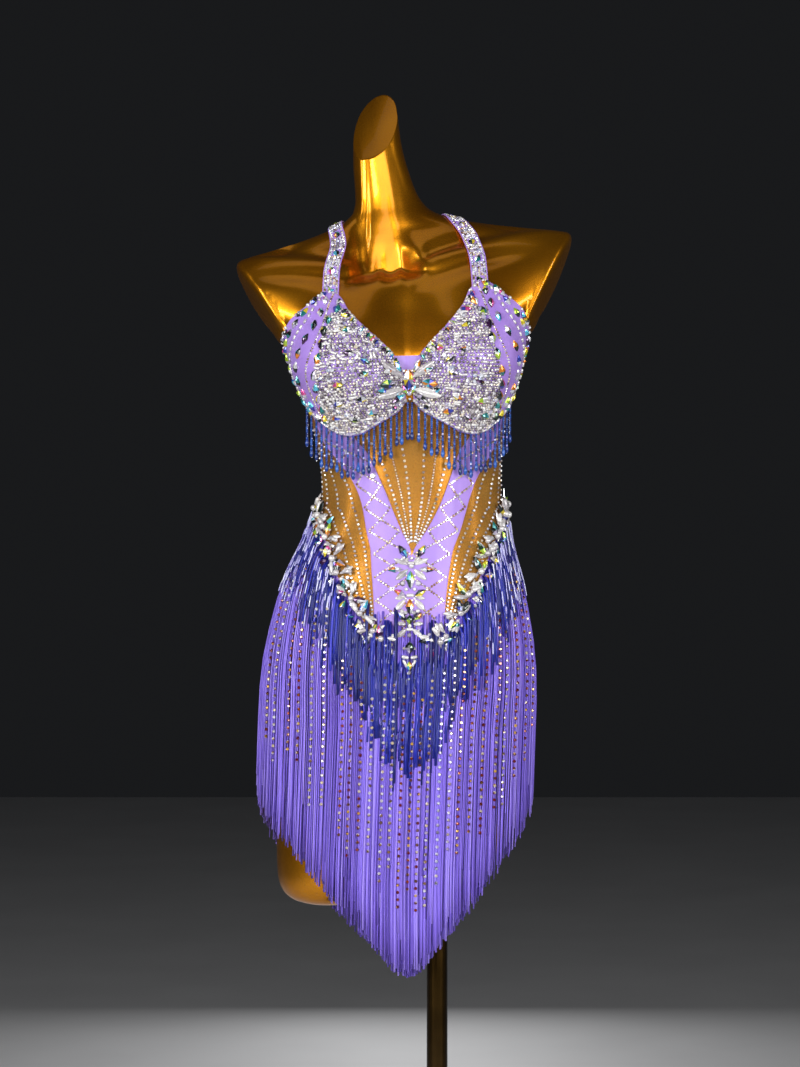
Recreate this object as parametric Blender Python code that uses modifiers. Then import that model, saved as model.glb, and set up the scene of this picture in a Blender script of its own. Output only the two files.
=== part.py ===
"""Latin dance dress on a limbless display form: a crystal bra top, sheer cut-outs and a V of fringe.

Tables and sizes are in millimetres, and points are turned into metres as they are placed.
+Z is up, the front of the dress faces -Y and the wearer's left is +X. The origin is on the
floor under the dress, in the plane of the base plate's underside.
"""

import math
from bisect import bisect_right
from collections import namedtuple

import bmesh
import bpy
from mathutils import Vector

MM = 0.001

# Walls and the gaps between them
CLOTH = 1.2  # stretch satin and sheer mesh, with their seam turnings
CUP_WALL = 3.0  # moulded foam cup
SEAM = 0.3  # gap between neighbouring pieces
FORM_IN, FORM_IN_SHOULDERS = 3.0, 1.0  # how far the form's skin lies inside the cloth
LAYER = 0.5  # gap between a piece and the cloth that it lies on
SIDES = (("left", 1), ("right", -1))  # the wearer's own sides

# The figure, as level sections round a vertical axis. centre is the section's shift to the back.
Section = namedtuple("Section", "height half_width front back centre squareness")
SECTIONS = (
    Section(765, 108, 48, 58, 4, 2.2),
    Section(772, 132, 72, 82, 4, 2.2),
    Section(785, 144, 84, 98, 4, 2.2),
    Section(800, 150, 92, 108, 3, 2.2),
    Section(850, 159, 99, 121, 0, 2.2),
    Section(900, 156, 102, 121, 0, 2.2),
    Section(950, 147, 102, 114, 0, 2.2),
    Section(1000, 134, 98, 102, 0, 2.2),
    Section(1050, 116, 92, 90, 0, 2.2),
    Section(1100, 106, 87, 81, 0, 2.2),
    Section(1135, 107, 88, 79, 0, 2.2),
    Section(1170, 112, 92, 80, 0, 2.2),
    Section(1210, 121, 97, 84, 0, 2.2),
    Section(1250, 129, 99, 88, 0, 2.2),
    Section(1290, 148, 96, 91, 2, 2.3),
    Section(1320, 182, 88, 90, 4, 2.4),
    Section(1350, 208, 76, 84, 6, 2.4),
    Section(1375, 214, 62, 72, 7, 2.3),
    Section(1394, 200, 45, 57, 8, 2.2),
    Section(1405, 150, 37, 50, 9, 2.1),
    Section(1412, 116, 34, 47, 10, 2.0),
    Section(1421, 82, 33, 44, 11, 2.0),
    Section(1430, 58, 32, 42, 12, 2.0),
    Section(1440, 45, 31, 40, 13, 2.0),
    Section(1456, 38, 30, 38, 14, 2.0),
    Section(1492, 33, 29, 36, 16, 2.0),
    Section(1528, 29, 28, 34, 18, 2.0),
    Section(1600, 26, 27, 32, 20, 2.0),
)

# The soft rise of the bust, in degrees round from the centre front and millimetres up
BUST_ANGLE, BUST_SPREAD = 41, 27
BUST_HEIGHT, BUST_ABOVE, BUST_BELOW = 1252, 58, 46
BUST_RISE = 33

# The stance: the hips turned a little, the shoulders raised on the left, the neck leaning right
Stance = namedtuple("Stance", "height shift roll yaw")
STANCE = (
    Stance(640, -19, 0.0, 6.0),
    Stance(850, -12, 0.0, 6.0),
    Stance(1000, -6, 0.0, 5.0),
    Stance(1100, 4, 0.5, 3.0),
    Stance(1250, -2, 1.8, 0.5),
    Stance(1394, -5, 5.0, 0.0),
    Stance(1432, -19, 4.0, 0.0),
    Stance(1474, -30, 2.0, 0.0),
    Stance(1510, -36, 0.0, 0.0),
    Stance(1560, -40, 0.0, 0.0),
)

# Thigh stubs, as ovals about their own axes
Thigh = namedtuple("Thigh", "height half_width half_depth")
THIGH_APART, THIGH_BACK = 78, 4
THIGHS = (
    Thigh(610, 30, 38),
    Thigh(613, 40, 48),
    Thigh(621, 51, 59),
    Thigh(636, 58, 67),
    Thigh(665, 61, 71),
    Thigh(710, 62, 74),
    Thigh(765, 61, 74),
    Thigh(800, 57, 70),
    Thigh(840, 46, 58),
)
# How far the wearer's left stub is drawn in on its outer side, which keeps it behind the fringe
Tuck = namedtuple("Tuck", "height drawn_in")
LEFT_TUCK = (
    Tuck(610, 16),
    Tuck(613, 22),
    Tuck(621, 27),
    Tuck(636, 24),
    Tuck(665, 15),
    Tuck(710, 0),
    Tuck(840, 0),
)

# Where the form is cut: a slanting oval at each shoulder and a long slant across the neck
SHOULDER_TIP, ARMPIT = (197, 1394), (145, 1292)
SHOULDER_CUT_AHEAD = 17  # how far the cuts face forward, against a rise of 102
NECK_CUT_HEIGHT, NECK_CUT_RISE_LEFT, NECK_CUT_RISE_BACK = 1541, 0.62, 1.29

# The stand
POLE_X, POLE_Y, POLE_RADIUS, POLE_SOCKET = 35, 4, 12.5, 70
BASE_RADIUS, BASE_THICK, COLLAR_RADIUS, COLLAR_HEIGHT = 170, 9, 24, 38

# Seams of the bodice, in degrees round from the centre front
Seam = namedtuple("Seam", "height v_edge strip_edge")
BODICE_TOP = 1205
SEAMS = (
    Seam(931, 0.0, 21.7),
    Seam(968, 0.0, 22.8),
    Seam(996, 0.0, 24.7),
    Seam(1023, 0.0, 27.2),
    Seam(1030, 1.2, 28.0),
    Seam(1052, 9.0, 32.8),
    Seam(1084, 19.0, 39.2),
    Seam(1114, 26.7, 47.0),
    Seam(1144, 34.0, 61.0),
    Seam(1164, 41.6, 70.0),
    Seam(BODICE_TOP, 48.0, 75.0),
)
V_POINT = 1030  # lowest point of the sheer V
SIDE_MESH_FOOT = 938

# Top edge of the brief, which the skirt's fringe follows all round
HipLine = namedtuple("HipLine", "angle height")
HIP_LINE = (
    HipLine(0, 930),
    HipLine(21.7, 931),
    HipLine(29, 950),
    HipLine(38, 976),
    HipLine(46, 1000),
    HipLine(54, 1024),
    HipLine(66, 1052),
    HipLine(90, 1080),
    HipLine(120, 1062),
    HipLine(150, 1032),
    HipLine(180, 1012),
)
LegLine = namedtuple("LegLine", "angle height")
LEG_LINE = (
    LegLine(0, 790),
    LegLine(10, 790),
    LegLine(20, 818),
    LegLine(35, 852),
    LegLine(60, 900),
    LegLine(90, 930),
    LegLine(120, 902),
    LegLine(150, 840),
    LegLine(170, 790),
    LegLine(180, 790),
)
SIDE_SEAM_FOOT = HIP_LINE[7].height
CROTCH = 789.5
GUSSET_HALF, GUSSET_DROP = 13, 32
GUSSET_FRONT, GUSSET_BACK = -86, 108

# The cups: lower and upper edges, round from the centre front
CupEdge = namedtuple("CupEdge", "angle lower upper")
CUP_EDGES = (
    CupEdge(3.5, 1204, 1233),
    CupEdge(8.5, 1194, 1254),
    CupEdge(15.0, 1187, 1269),
    CupEdge(21.5, 1181, 1282),
    CupEdge(28.0, 1175, 1296),
    CupEdge(35.0, 1169, 1311),
    CupEdge(42.0, 1167, 1329),
    CupEdge(49.0, 1169, 1337),
    CupEdge(56.0, 1177, 1318),
    CupEdge(64.0, 1189, 1302),
    CupEdge(72.0, 1206, 1286),
    CupEdge(79.0, 1230, 1262),
)
CUP_RIM, CUP_SWELL = 2.1, 8.0  # the rim's and the middle's distance off the figure

BAND_LOW, BAND_HIGH, BAND_START = BODICE_TOP + SEAM, 1246, 68
BRIDGE_LOW, BRIDGE_HIGH, BRIDGE_REACH = 1240, 1256, 12

# Straps, over the shoulders round a line that runs from side to side
STRAP_WIDTH, STRAP_AXIS_Y, STRAP_AXIS_Z = 19, 8, 1325
StrapLine = namedtuple("StrapLine", "angle across lift")
STRAP_LINE = (
    StrapLine(-2, 88, 0.0),
    StrapLine(30, 86, 0.4),
    StrapLine(60, 78, 0.8),
    StrapLine(90, 70, 0.9),
    StrapLine(120, 62, 1.0),
    StrapLine(150, 54, 0.4),
    StrapLine(190, 48, 0.2),
    StrapLine(205, 46, 0.6),
    StrapLine(215, 46, CLOTH + LAYER),
    StrapLine(226, 46, CLOTH + LAYER),
)

# Fringe: the share of each strand's pitch that is strand, and the strands' ends
STRAND_SHARE, STRAND_THICK, FRINGE_SPREAD = 0.58, 1.6, 1.9
HemLine = namedtuple("HemLine", "angle height")
HEM_LINE = (
    HemLine(0, 538),
    HemLine(10, 549),
    HemLine(20, 570),
    HemLine(30, 593),
    HemLine(40, 615),
    HemLine(50, 643),
    HemLine(60, 672),
    HemLine(70, 700),
    HemLine(80, 724),
    HemLine(90, 748),
)
HEM_TURN = 4  # the front hem's point lies a little to the wearer's left
SKIRT_STRIP_TOP, SKIRT_STRIP_TALL = 8, 7  # below the hip line
SKIRT_FRONT_STRANDS, SKIRT_BACK_STRANDS, SKIRT_STEPS = 66, 50, 4
BUST_STRANDS, BUST_STRIP_TALL, BUST_DROP_CENTRE, BUST_DROP_SIDE = 20, 3, 44, 52
BUST_FRINGE_START = 1
BUST_FRINGE_GAP = 3.0  # below the cup's inner edge, to clear its wall

# Applied flowers of stones: lobes are (direction, length, half width in degrees)
Flower = namedtuple("Flower", "name height lobes rise out")
ON_CLOTH = CLOTH + LAYER
ON_HEADING = ON_CLOTH + STRAND_THICK + 0.9
ON_FRINGE = ON_CLOTH + FRINGE_SPREAD + STRAND_THICK + 0.6
ON_CUPS = CUP_RIM + CUP_WALL + LAYER
BUTTERFLY = ((32, 40, 18), (-14, 38, 15), (148, 40, 18), (194, 38, 15), (90, 14, 26), (-90, 17, 26))
STAR = (
    (90, 15, 22), (32, 24, 15), (148, 24, 15), (-8, 22, 12), (188, 22, 12), (-45, 23, 15), (-135, 23, 15),
    (-90, 23, 17),
)
FLOWERS = (
    Flower("applique_bust", 1226, BUTTERFLY, 5.0, ON_CUPS),
    Flower("applique_front_star", 1010, STAR, 5.0, ON_CLOTH),
)

# Garlands of stones run along a line: the half width there, from end to end of the line
Spray = namedtuple("Spray", "along half_width")
TAIL_HIGH, TAIL_LOW, TAIL_LIFTS_BELOW = 986, 878, 942
TAIL = (
    Spray(0.00, 5),
    Spray(0.10, 19),
    Spray(0.28, 8),
    Spray(0.42, 16),
    Spray(0.58, 6),
    Spray(0.74, 11),
    Spray(0.86, 4),
    Spray(1.00, 3),
)
HIP_GARLAND_START, HIP_GARLAND_END, HIP_GARLAND_DROP = 88, 18, 9
HIP_GARLAND = (
    Spray(0.00, 6),
    Spray(0.10, 13),
    Spray(0.20, 7),
    Spray(0.31, 13),
    Spray(0.42, 7),
    Spray(0.53, 13),
    Spray(0.64, 7),
    Spray(0.75, 12),
    Spray(0.87, 6),
    Spray(1.00, 4),
)

Finish = namedtuple("Finish", "colour roughness metallic")
FINISHES = {
    "satin_lavender": Finish((0.36, 0.25, 0.80), 0.45, 0.0),
    "sheer_mesh": Finish((0.55, 0.36, 0.14), 0.60, 0.0),
    "fringe_lavender": Finish((0.31, 0.22, 0.80), 0.40, 0.0),
    "bead_blue": Finish((0.03, 0.08, 0.42), 0.20, 0.1),
    "crystal": Finish((0.80, 0.78, 0.82), 0.10, 0.3),
    "form_gold": Finish((0.52, 0.28, 0.04), 0.22, 0.8),
    "stand_brass": Finish((0.45, 0.31, 0.12), 0.25, 1.0),
}


class Profile:
    """A smooth curve through one column of a table, with no overshoot between the rows."""

    def __init__(self, rows, column, key="height"):
        self.at = [getattr(row, key) for row in rows]
        self.value = [getattr(row, column) for row in rows]
        steps = [b - a for a, b in zip(self.at, self.at[1:])]
        rises = [b - a for a, b in zip(self.value, self.value[1:])]
        grades = [rise / step for rise, step in zip(rises, steps)]
        self.slope = [grades[0]]
        for before, after in zip(grades, grades[1:]):
            level = before * after <= 0
            self.slope.append(0.0 if level else 2 * before * after / (before + after))
        self.slope.append(grades[-1])

    def __call__(self, at):
        at = min(max(at, self.at[0]), self.at[-1])
        i = min(bisect_right(self.at, at), len(self.at) - 1) - 1
        step = self.at[i + 1] - self.at[i]
        t = (at - self.at[i]) / step
        start, end = self.value[i], self.value[i + 1]
        rise = start + (end - start) * t * t * (3 - 2 * t)
        bend_start = self.slope[i] * step * t * (1 - t) ** 2
        bend_end = self.slope[i + 1] * step * t * t * (1 - t)
        return rise + bend_start - bend_end


FIGURE = {column: Profile(SECTIONS, column) for column in Section._fields[1:]}
POSE = {column: Profile(STANCE, column) for column in Stance._fields[1:]}
THIGH = {column: Profile(THIGHS, column) for column in Thigh._fields[1:]}
DRAWN_IN = Profile(LEFT_TUCK, "drawn_in")
V_EDGE, STRIP_EDGE = Profile(SEAMS, "v_edge"), Profile(SEAMS, "strip_edge")
HIP_HEIGHT = Profile(HIP_LINE, "height", key="angle")
LEG_HEIGHT = Profile(LEG_LINE, "height", key="angle")
HEM_HEIGHT = Profile(HEM_LINE, "height", key="angle")
CUP_LOWER = Profile(CUP_EDGES, "lower", key="angle")
CUP_UPPER = Profile(CUP_EDGES, "upper", key="angle")
STRAP_ACROSS = Profile(STRAP_LINE, "across", key="angle")
STRAP_LIFT = Profile(STRAP_LINE, "lift", key="angle")


def round_from_front(angle):
    """The angle as 0 at the centre front to 180 at the centre back, on either side."""
    return abs((angle + 180) % 360 - 180)


def figure_radius(angle, height):
    """Distance from the section's centre to the figure's surface, at an angle from the front."""
    turn = math.radians(angle)
    side, ahead = abs(math.sin(turn)), math.cos(turn)
    depth = FIGURE["front" if ahead >= 0 else "back"](height)
    power = FIGURE["squareness"](height)
    oval = (side / FIGURE["half_width"](height)) ** power + (abs(ahead) / depth) ** power
    across = (round_from_front(angle) - BUST_ANGLE) / BUST_SPREAD
    up = (height - BUST_HEIGHT) / (BUST_ABOVE if height > BUST_HEIGHT else BUST_BELOW)
    return oval ** (-1 / power) + BUST_RISE * math.exp(-across * across - up * up)


def skin(angle, height):
    turn, radius = math.radians(angle), figure_radius(angle, height)
    y = FIGURE["centre"](height) - radius * math.cos(turn)
    return Vector((radius * math.sin(turn), y, height))


def figure_point(angle, height, out=0.0):
    """A point that lies out millimetres off the figure's surface, square to it."""
    round_step = skin(angle + 0.5, height) - skin(angle - 0.5, height)
    up_step = skin(angle, height + 1) - skin(angle, height - 1)
    return skin(angle, height) + round_step.cross(up_step).normalized() * out


def posed(point):
    """The point moved with the figure's stance, in metres."""
    x, y, z = point
    yaw, roll = math.radians(POSE["yaw"](z)), math.radians(POSE["roll"](z))
    turned_x = x * math.cos(yaw) - y * math.sin(yaw)
    turned_y = x * math.sin(yaw) + y * math.cos(yaw)
    return Vector((turned_x + POSE["shift"](z), turned_y, z + turned_x * math.sin(roll))) * MM


def clear_scene():
    for obj in list(bpy.data.objects):
        bpy.data.objects.remove(obj)


def new_collection(name, shown):
    collection = bpy.data.collections.new(name)
    bpy.context.scene.collection.children.link(collection)
    collection.hide_render = not shown
    return collection


def finish_material(name):
    material = bpy.data.materials.new(name)
    material.use_nodes = True
    shader = material.node_tree.nodes["Principled BSDF"]
    finish = FINISHES[name]
    shader.inputs["Base Color"].default_value = (*finish.colour, 1)
    shader.inputs["Roughness"].default_value = finish.roughness
    shader.inputs["Metallic"].default_value = finish.metallic
    return material


def add_object(name, bm, finish, collection):
    mesh = bpy.data.meshes.new(name)
    bm.to_mesh(mesh)
    bm.free()
    obj = bpy.data.objects.new(name, mesh)
    collection.objects.link(obj)
    if finish:
        mesh.materials.append(bpy.data.materials[finish])
    return obj


def give_wall(obj, thickness):
    wall = obj.modifiers.new("wall", "SOLIDIFY")
    wall.thickness = thickness * MM
    wall.offset = 1
    return obj


def panel(name, columns, rows, place, finish, collection, wall=CLOTH):
    """A cloth panel: a grid whose point (s, t), each from 0 to 1, place puts on the figure."""
    bm = bmesh.new()
    bmesh.ops.create_grid(bm, x_segments=columns, y_segments=rows, size=0.5)
    for vert in bm.verts:
        vert.co = posed(place(vert.co.x + 0.5, vert.co.y + 0.5))
    return give_wall(add_object(name, bm, finish, collection), wall)


def seam_turn(radius=110):
    """Half a seam's gap, in degrees round the figure."""
    return math.degrees(SEAM / 2 / radius)


# ---------------------------------------------------------------- the form and its stand


def tube(heights, segments, point_at):
    """A closed tube of rings, one at each height, with a flat cap at both ends."""
    bm = bmesh.new()
    bmesh.ops.create_grid(bm, x_segments=segments, y_segments=len(heights) - 1, size=0.5)
    for vert in bm.verts:
        row = round((vert.co.y + 0.5) * (len(heights) - 1))
        vert.co = point_at(360 * (vert.co.x + 0.5), heights[row])
    bmesh.ops.remove_doubles(bm, verts=bm.verts, dist=0.01)
    bmesh.ops.holes_fill(bm, edges=bm.edges)
    bmesh.ops.recalc_face_normals(bm, faces=bm.faces)
    return bm


def slice_off(bm, point, normal, above):
    """Cuts away what lies past a plane above a height, and closes the cut with one flat face."""
    verts = [vert for vert in bm.verts if vert.co.z > above]
    geometry = [*verts]
    for item in [*bm.edges, *bm.faces]:
        if all(vert.co.z > above for vert in item.verts):
            geometry.append(item)
    bmesh.ops.bisect_plane(bm, geom=geometry, plane_co=point, plane_no=normal, clear_outer=True)
    bmesh.ops.holes_fill(bm, edges=bm.edges)


def form_heights():
    """Ring heights: the table's own rows, with one more between rows that lie far apart."""
    heights = []
    for low, high in zip(SECTIONS, SECTIONS[1:]):
        heights.append(low.height)
        if high.height - low.height > 45:
            heights.append((low.height + high.height) / 2)
    return [*heights, SECTIONS[-1].height]


def trunk():
    def point_at(angle, height):
        inside = FORM_IN if height < ARMPIT[1] + 20 else FORM_IN_SHOULDERS
        return figure_point(angle, height, -inside)

    bm = tube(form_heights(), 32, point_at)
    for _, side in SIDES:
        across, up = SHOULDER_TIP[0] - ARMPIT[0], SHOULDER_TIP[1] - ARMPIT[1]
        tip = (side * SHOULDER_TIP[0], 0, SHOULDER_TIP[1])
        slice_off(bm, tip, (side * up, -SHOULDER_CUT_AHEAD, -across), ARMPIT[1] - 3)
    neck_centre = (0, FIGURE["centre"](NECK_CUT_HEIGHT), NECK_CUT_HEIGHT)
    slice_off(bm, neck_centre, (-NECK_CUT_RISE_LEFT, -NECK_CUT_RISE_BACK, 1), NECK_CUT_HEIGHT - 90)
    bmesh.ops.recalc_face_normals(bm, faces=bm.faces)
    return bm


def thigh(side):
    def point_at(angle, height):
        turn = math.radians(angle)
        x = side * THIGH_APART + THIGH["half_width"](height) * math.sin(turn)
        if side > 0:
            x -= DRAWN_IN(height) * max(math.sin(turn), 0)
        return Vector((x, THIGH_BACK - THIGH["half_depth"](height) * math.cos(turn), height))

    return tube([row.height for row in THIGHS], 20, point_at)


def add_modifier_boolean(obj, other, operation):
    cut = obj.modifiers.new(operation.lower(), "BOOLEAN")
    cut.operation = operation
    cut.object = other


def round_bar(name, radius, low, high, segments, x=POLE_X, y=POLE_Y):
    bm = bmesh.new()
    size = {"radius1": radius * MM, "radius2": radius * MM, "depth": (high - low) * MM}
    bmesh.ops.create_cone(bm, cap_ends=True, segments=segments, **size)
    bmesh.ops.translate(bm, verts=bm.verts, vec=Vector((x, y, (low + high) / 2)) * MM)
    return name, bm


def build_form(collection, cutters):
    pieces = [trunk(), thigh(1), thigh(-1)]
    for bm in pieces:
        for vert in bm.verts:
            vert.co = posed(vert.co)
    form = add_object("form", pieces[0], "form_gold", collection)
    for index, bm in enumerate(pieces[1:]):
        stub = add_object(f"thigh_{index}", bm, None, cutters)
        add_modifier_boolean(form, stub, "UNION")
    socket_top = THIGHS[0].height + POLE_SOCKET
    socket = round_bar("pole_socket", POLE_RADIUS + LAYER, THIGHS[0].height - 30, socket_top, 24)
    add_modifier_boolean(form, add_object(*socket, None, cutters), "DIFFERENCE")


def build_stand(collection):
    pole = round_bar("pole", POLE_RADIUS, BASE_THICK + SEAM, THIGHS[0].height + POLE_SOCKET - SEAM, 24)
    add_object(*pole, "stand_brass", collection)
    plate = add_object(*round_bar("base_plate", BASE_RADIUS, 0, BASE_THICK, 48), "stand_brass", collection)
    edge = plate.modifiers.new("edge", "BEVEL")
    edge.width, edge.segments, edge.limit_method = 2.5 * MM, 2, "ANGLE"
    bm = bmesh.new()
    low, high = BASE_THICK + SEAM, BASE_THICK + SEAM + COLLAR_HEIGHT
    inner = POLE_RADIUS + SEAM
    outer, chamfer = COLLAR_RADIUS, 3
    profile = ((outer, high - chamfer), (outer, low), (inner, low), (inner, high), (outer - chamfer, high))
    verts = [bm.verts.new(Vector((radius, 0, height)) * MM) for radius, height in profile]
    for start, end in zip(verts, verts[1:] + verts[:1]):
        bm.edges.new((start, end))
    collar = add_object("pole_collar", bm, "stand_brass", collection)
    collar.location = Vector((POLE_X, POLE_Y, 0)) * MM
    turn = collar.modifiers.new("turn", "SCREW")
    turn.steps = turn.render_steps = 24
    turn.use_merge_vertices, turn.merge_threshold = True, 0.0001


# ---------------------------------------------------------------- bodice and brief


def bodice_levels(low):
    """Row heights that neighbouring bodice panels share, so that their seams match."""
    heights = [SEAMS[0].height + SEAM + (SIDE_SEAM_FOOT - SEAMS[0].height) * i / 6 for i in range(6)]
    heights.append(SIDE_SEAM_FOOT - 9)
    heights += [SIDE_SEAM_FOOT + SEAM + (BODICE_TOP - SIDE_SEAM_FOOT - SEAM) * i / 5 for i in range(6)]
    return [low, *[height for height in heights if height > low + 5]]


def row_panel(name, levels, columns, left_at, right_at, finish, collection):
    """A panel between two seams that run up the figure, with a row at each shared height."""
    last = len(levels) - 1

    def place(s, t):
        height = levels[round(t * last)]
        return figure_point(left_at(height) + (right_at(height) - left_at(height)) * s, height)

    return panel(name, columns, last, place, finish, collection)


def column_panel(name, angles, rows, low_at, high_at, finish, collection):
    """A panel between two edges that run round the figure, with a column at each angle."""
    last = len(angles) - 1

    def place(s, t):
        angle = angles[round(s * last)]
        low, high = low_at(angle), high_at(angle)
        return figure_point(angle, low + (high - low) * t)

    return panel(name, last, rows, place, finish, collection)


def evenly(start, end, columns):
    return [start + (end - start) * i / columns for i in range(columns + 1)]


def hip_angle(height):
    """Where the hip line crosses a height of the front, or the side seam above it."""
    low, high = 0.0, 90.0
    while high - low > 0.001:
        middle = (low + high) / 2
        low, high = (middle, high) if HIP_HEIGHT(middle) < height - SEAM else (low, middle)
    return high


def hip_height(angle):
    return HIP_HEIGHT(round_from_front(angle))


def leg_height(angle):
    return LEG_HEIGHT(round_from_front(angle))


def build_bodice(collection):
    turn = seam_turn()
    v_levels = bodice_levels(V_POINT)
    row_panel(
        "bodice_mesh_front", v_levels, 8,
        lambda height: turn - V_EDGE(height), lambda height: V_EDGE(height) - turn,
        "sheer_mesh", collection,
    )
    strip_levels, mesh_levels = bodice_levels(SEAMS[0].height + SEAM), bodice_levels(SIDE_MESH_FOOT)
    strip = [lambda height: V_EDGE(height) + turn, lambda height: STRIP_EDGE(height) - turn]
    mesh = [lambda height: STRIP_EDGE(height) + turn, lambda height: hip_angle(height) - turn]
    for side_name, side in SIDES:
        for name, levels, columns, seams, finish in (
            ("bodice_strip", strip_levels, 4, strip, "satin_lavender"),
            ("bodice_mesh_side", mesh_levels, 6, mesh, "sheer_mesh"),
        ):
            # On the right side the seams swap, so that the panel still runs left to right.
            near, far = seams[::side]
            row_panel(
                f"{name}_{side_name}", levels, columns,
                lambda height, edge=near: side * edge(height), lambda height, edge=far: side * edge(height),
                finish, collection,
            )
    column_panel(
        "bodice_mesh_back", evenly(90 + turn, 270 - turn, 24), 5,
        lambda angle: hip_height(angle) + SEAM, lambda angle: BODICE_TOP, "sheer_mesh", collection,
    )


def build_brief(collection):
    turn = seam_turn()
    side = [hip_angle(height) for height in bodice_levels(SIDE_MESH_FOOT) if height < SIDE_SEAM_FOOT]
    side = [7, 14, 21.7, *side, 90 - turn]
    front = [-angle for angle in reversed(side)] + side
    for name, angles in (("brief_front", front), ("brief_back", evenly(90 + turn, 270 - turn, 24))):
        column_panel(name, angles, 6, leg_height, hip_height, "satin_lavender", collection)

    def gusset_place(s, t):
        sweep = math.pi * t
        y = GUSSET_FRONT + (GUSSET_BACK - GUSSET_FRONT) * (1 - math.cos(sweep)) / 2
        height = CROTCH - GUSSET_DROP * math.sin(sweep) ** 0.7
        return Vector(((0.5 - s) * 2 * GUSSET_HALF, y, height))

    panel("brief_gusset", 2, 10, gusset_place, "satin_lavender", collection)


# ---------------------------------------------------------------- bra: cups, bridge, band, straps


def cup_swell(angle, height):
    """How far a cup's middle stands out beyond its rim."""
    first, last = CUP_EDGES[0].angle, CUP_EDGES[-1].angle
    across = (angle - first) / (last - first)
    up = (height - CUP_LOWER(angle)) / (CUP_UPPER(angle) - CUP_LOWER(angle))
    if not (0 < across < 1 and 0 < up < 1):
        return 0.0
    return CUP_SWELL * (math.sin(math.pi * across) * math.sin(math.pi * up)) ** 0.8


def build_bra(collection):
    first, last = CUP_EDGES[0].angle, CUP_EDGES[-1].angle
    for side_name, side in SIDES:

        def place(s, t, side=side):
            angle = first + (last - first) * (s if side > 0 else 1 - s)
            low, high = CUP_LOWER(angle), CUP_UPPER(angle)
            height = low + (high - low) * t
            return figure_point(side * angle, height, CUP_RIM + cup_swell(angle, height))

        panel(f"cup_{side_name}", 14, 8, place, "satin_lavender", collection, CUP_WALL)
    column_panel(
        "bra_bridge", evenly(-BRIDGE_REACH, BRIDGE_REACH, 6), 2,
        lambda angle: BRIDGE_LOW, lambda angle: BRIDGE_HIGH, "satin_lavender", collection,
    )
    column_panel(
        "bra_band", evenly(BAND_START, 360 - BAND_START, 26), 2,
        lambda angle: BAND_LOW, lambda angle: BAND_HIGH, "satin_lavender", collection,
    )
    for side_name, side in SIDES:
        panel(
            f"strap_{side_name}", 2, 26, lambda s, t, side=side: strap_point(s, t, side),
            "satin_lavender", collection,
        )


def strap_point(s, t, side):
    """A point of a strap: from the strap's own axis, out through the shoulder to its surface."""
    angle = STRAP_LINE[0].angle + (STRAP_LINE[-1].angle - STRAP_LINE[0].angle) * t
    x = side * STRAP_ACROSS(angle) + (s - 0.5) * STRAP_WIDTH
    way = Vector((0, -math.cos(math.radians(angle)), math.sin(math.radians(angle))))
    start = Vector((x, STRAP_AXIS_Y, STRAP_AXIS_Z))
    inside, outside = 0.0, 200.0
    while outside - inside > 0.01:
        middle = (inside + outside) / 2
        x, y, height = start + way * middle
        y -= FIGURE["centre"](height)
        depth = math.hypot(x, y) - figure_radius(math.degrees(math.atan2(x, -y)), height)
        inside, outside = (inside, middle) if depth > 0 else (middle, outside)
    return start + way * (inside + STRAP_LIFT(angle))


# ---------------------------------------------------------------- fringe


def comb(name, strands, steps, place, finish, collection):
    """A strip with strands hanging from it. place(s, t) has t from 0 to 1 up the strip and -1 at a tip."""
    bm = bmesh.new()
    bmesh.ops.create_grid(bm, x_segments=2 * strands + 1, y_segments=1, size=0.5)
    strand_half = STRAND_SHARE / (2 * strands)
    for vert in bm.verts:
        cell = round((vert.co.x + 0.5) * (2 * strands + 1))
        centre = (((cell + 1) // 2) - 0.5) / strands
        s = min(max(centre + (strand_half if cell % 2 == 0 else -strand_half), 0), 1)
        vert.co = Vector((s, vert.co.y + 0.5, 0))
    bottom = [edge for edge in bm.edges if all(vert.co.y < 0.5 for vert in edge.verts)]
    bottom.sort(key=lambda edge: sum(vert.co.x for vert in edge.verts))
    for edge in bottom[1::2]:
        for _ in range(steps):
            grown = bmesh.ops.extrude_edge_only(bm, edges=[edge])["geom"]
            edge = next(item for item in grown if isinstance(item, bmesh.types.BMEdge))
            bmesh.ops.translate(bm, verts=edge.verts, vec=(0, -1 / steps, 0))
    bmesh.ops.recalc_face_normals(bm, faces=bm.faces)
    if bm.faces[:][0].normal.z < 0:
        bmesh.ops.reverse_faces(bm, faces=bm.faces)
    for vert in bm.verts:
        vert.co = posed(place(vert.co.x, vert.co.y))
    give_wall(add_object(name, bm, finish, collection), STRAND_THICK)


def hanging_point(angle, top, height, out):
    """Where a strand lies: over the figure's widest place above this height, then straight down."""
    looked_at = [height + (top - height) * i / 12 for i in range(13)]
    widest = max(looked_at, key=lambda h: figure_radius(angle, max(h, SECTIONS[4].height)))
    found = figure_point(angle, max(widest, SECTIONS[4].height), out)
    found.z = height
    return found


def hem_height(angle):
    """The height of the skirt's hem, which is the same from the front and the back to the sides."""
    turned = round_from_front(angle - HEM_TURN * max(math.cos(math.radians(angle)), 0))
    return HEM_HEIGHT(min(turned, 180 - turned))


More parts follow.
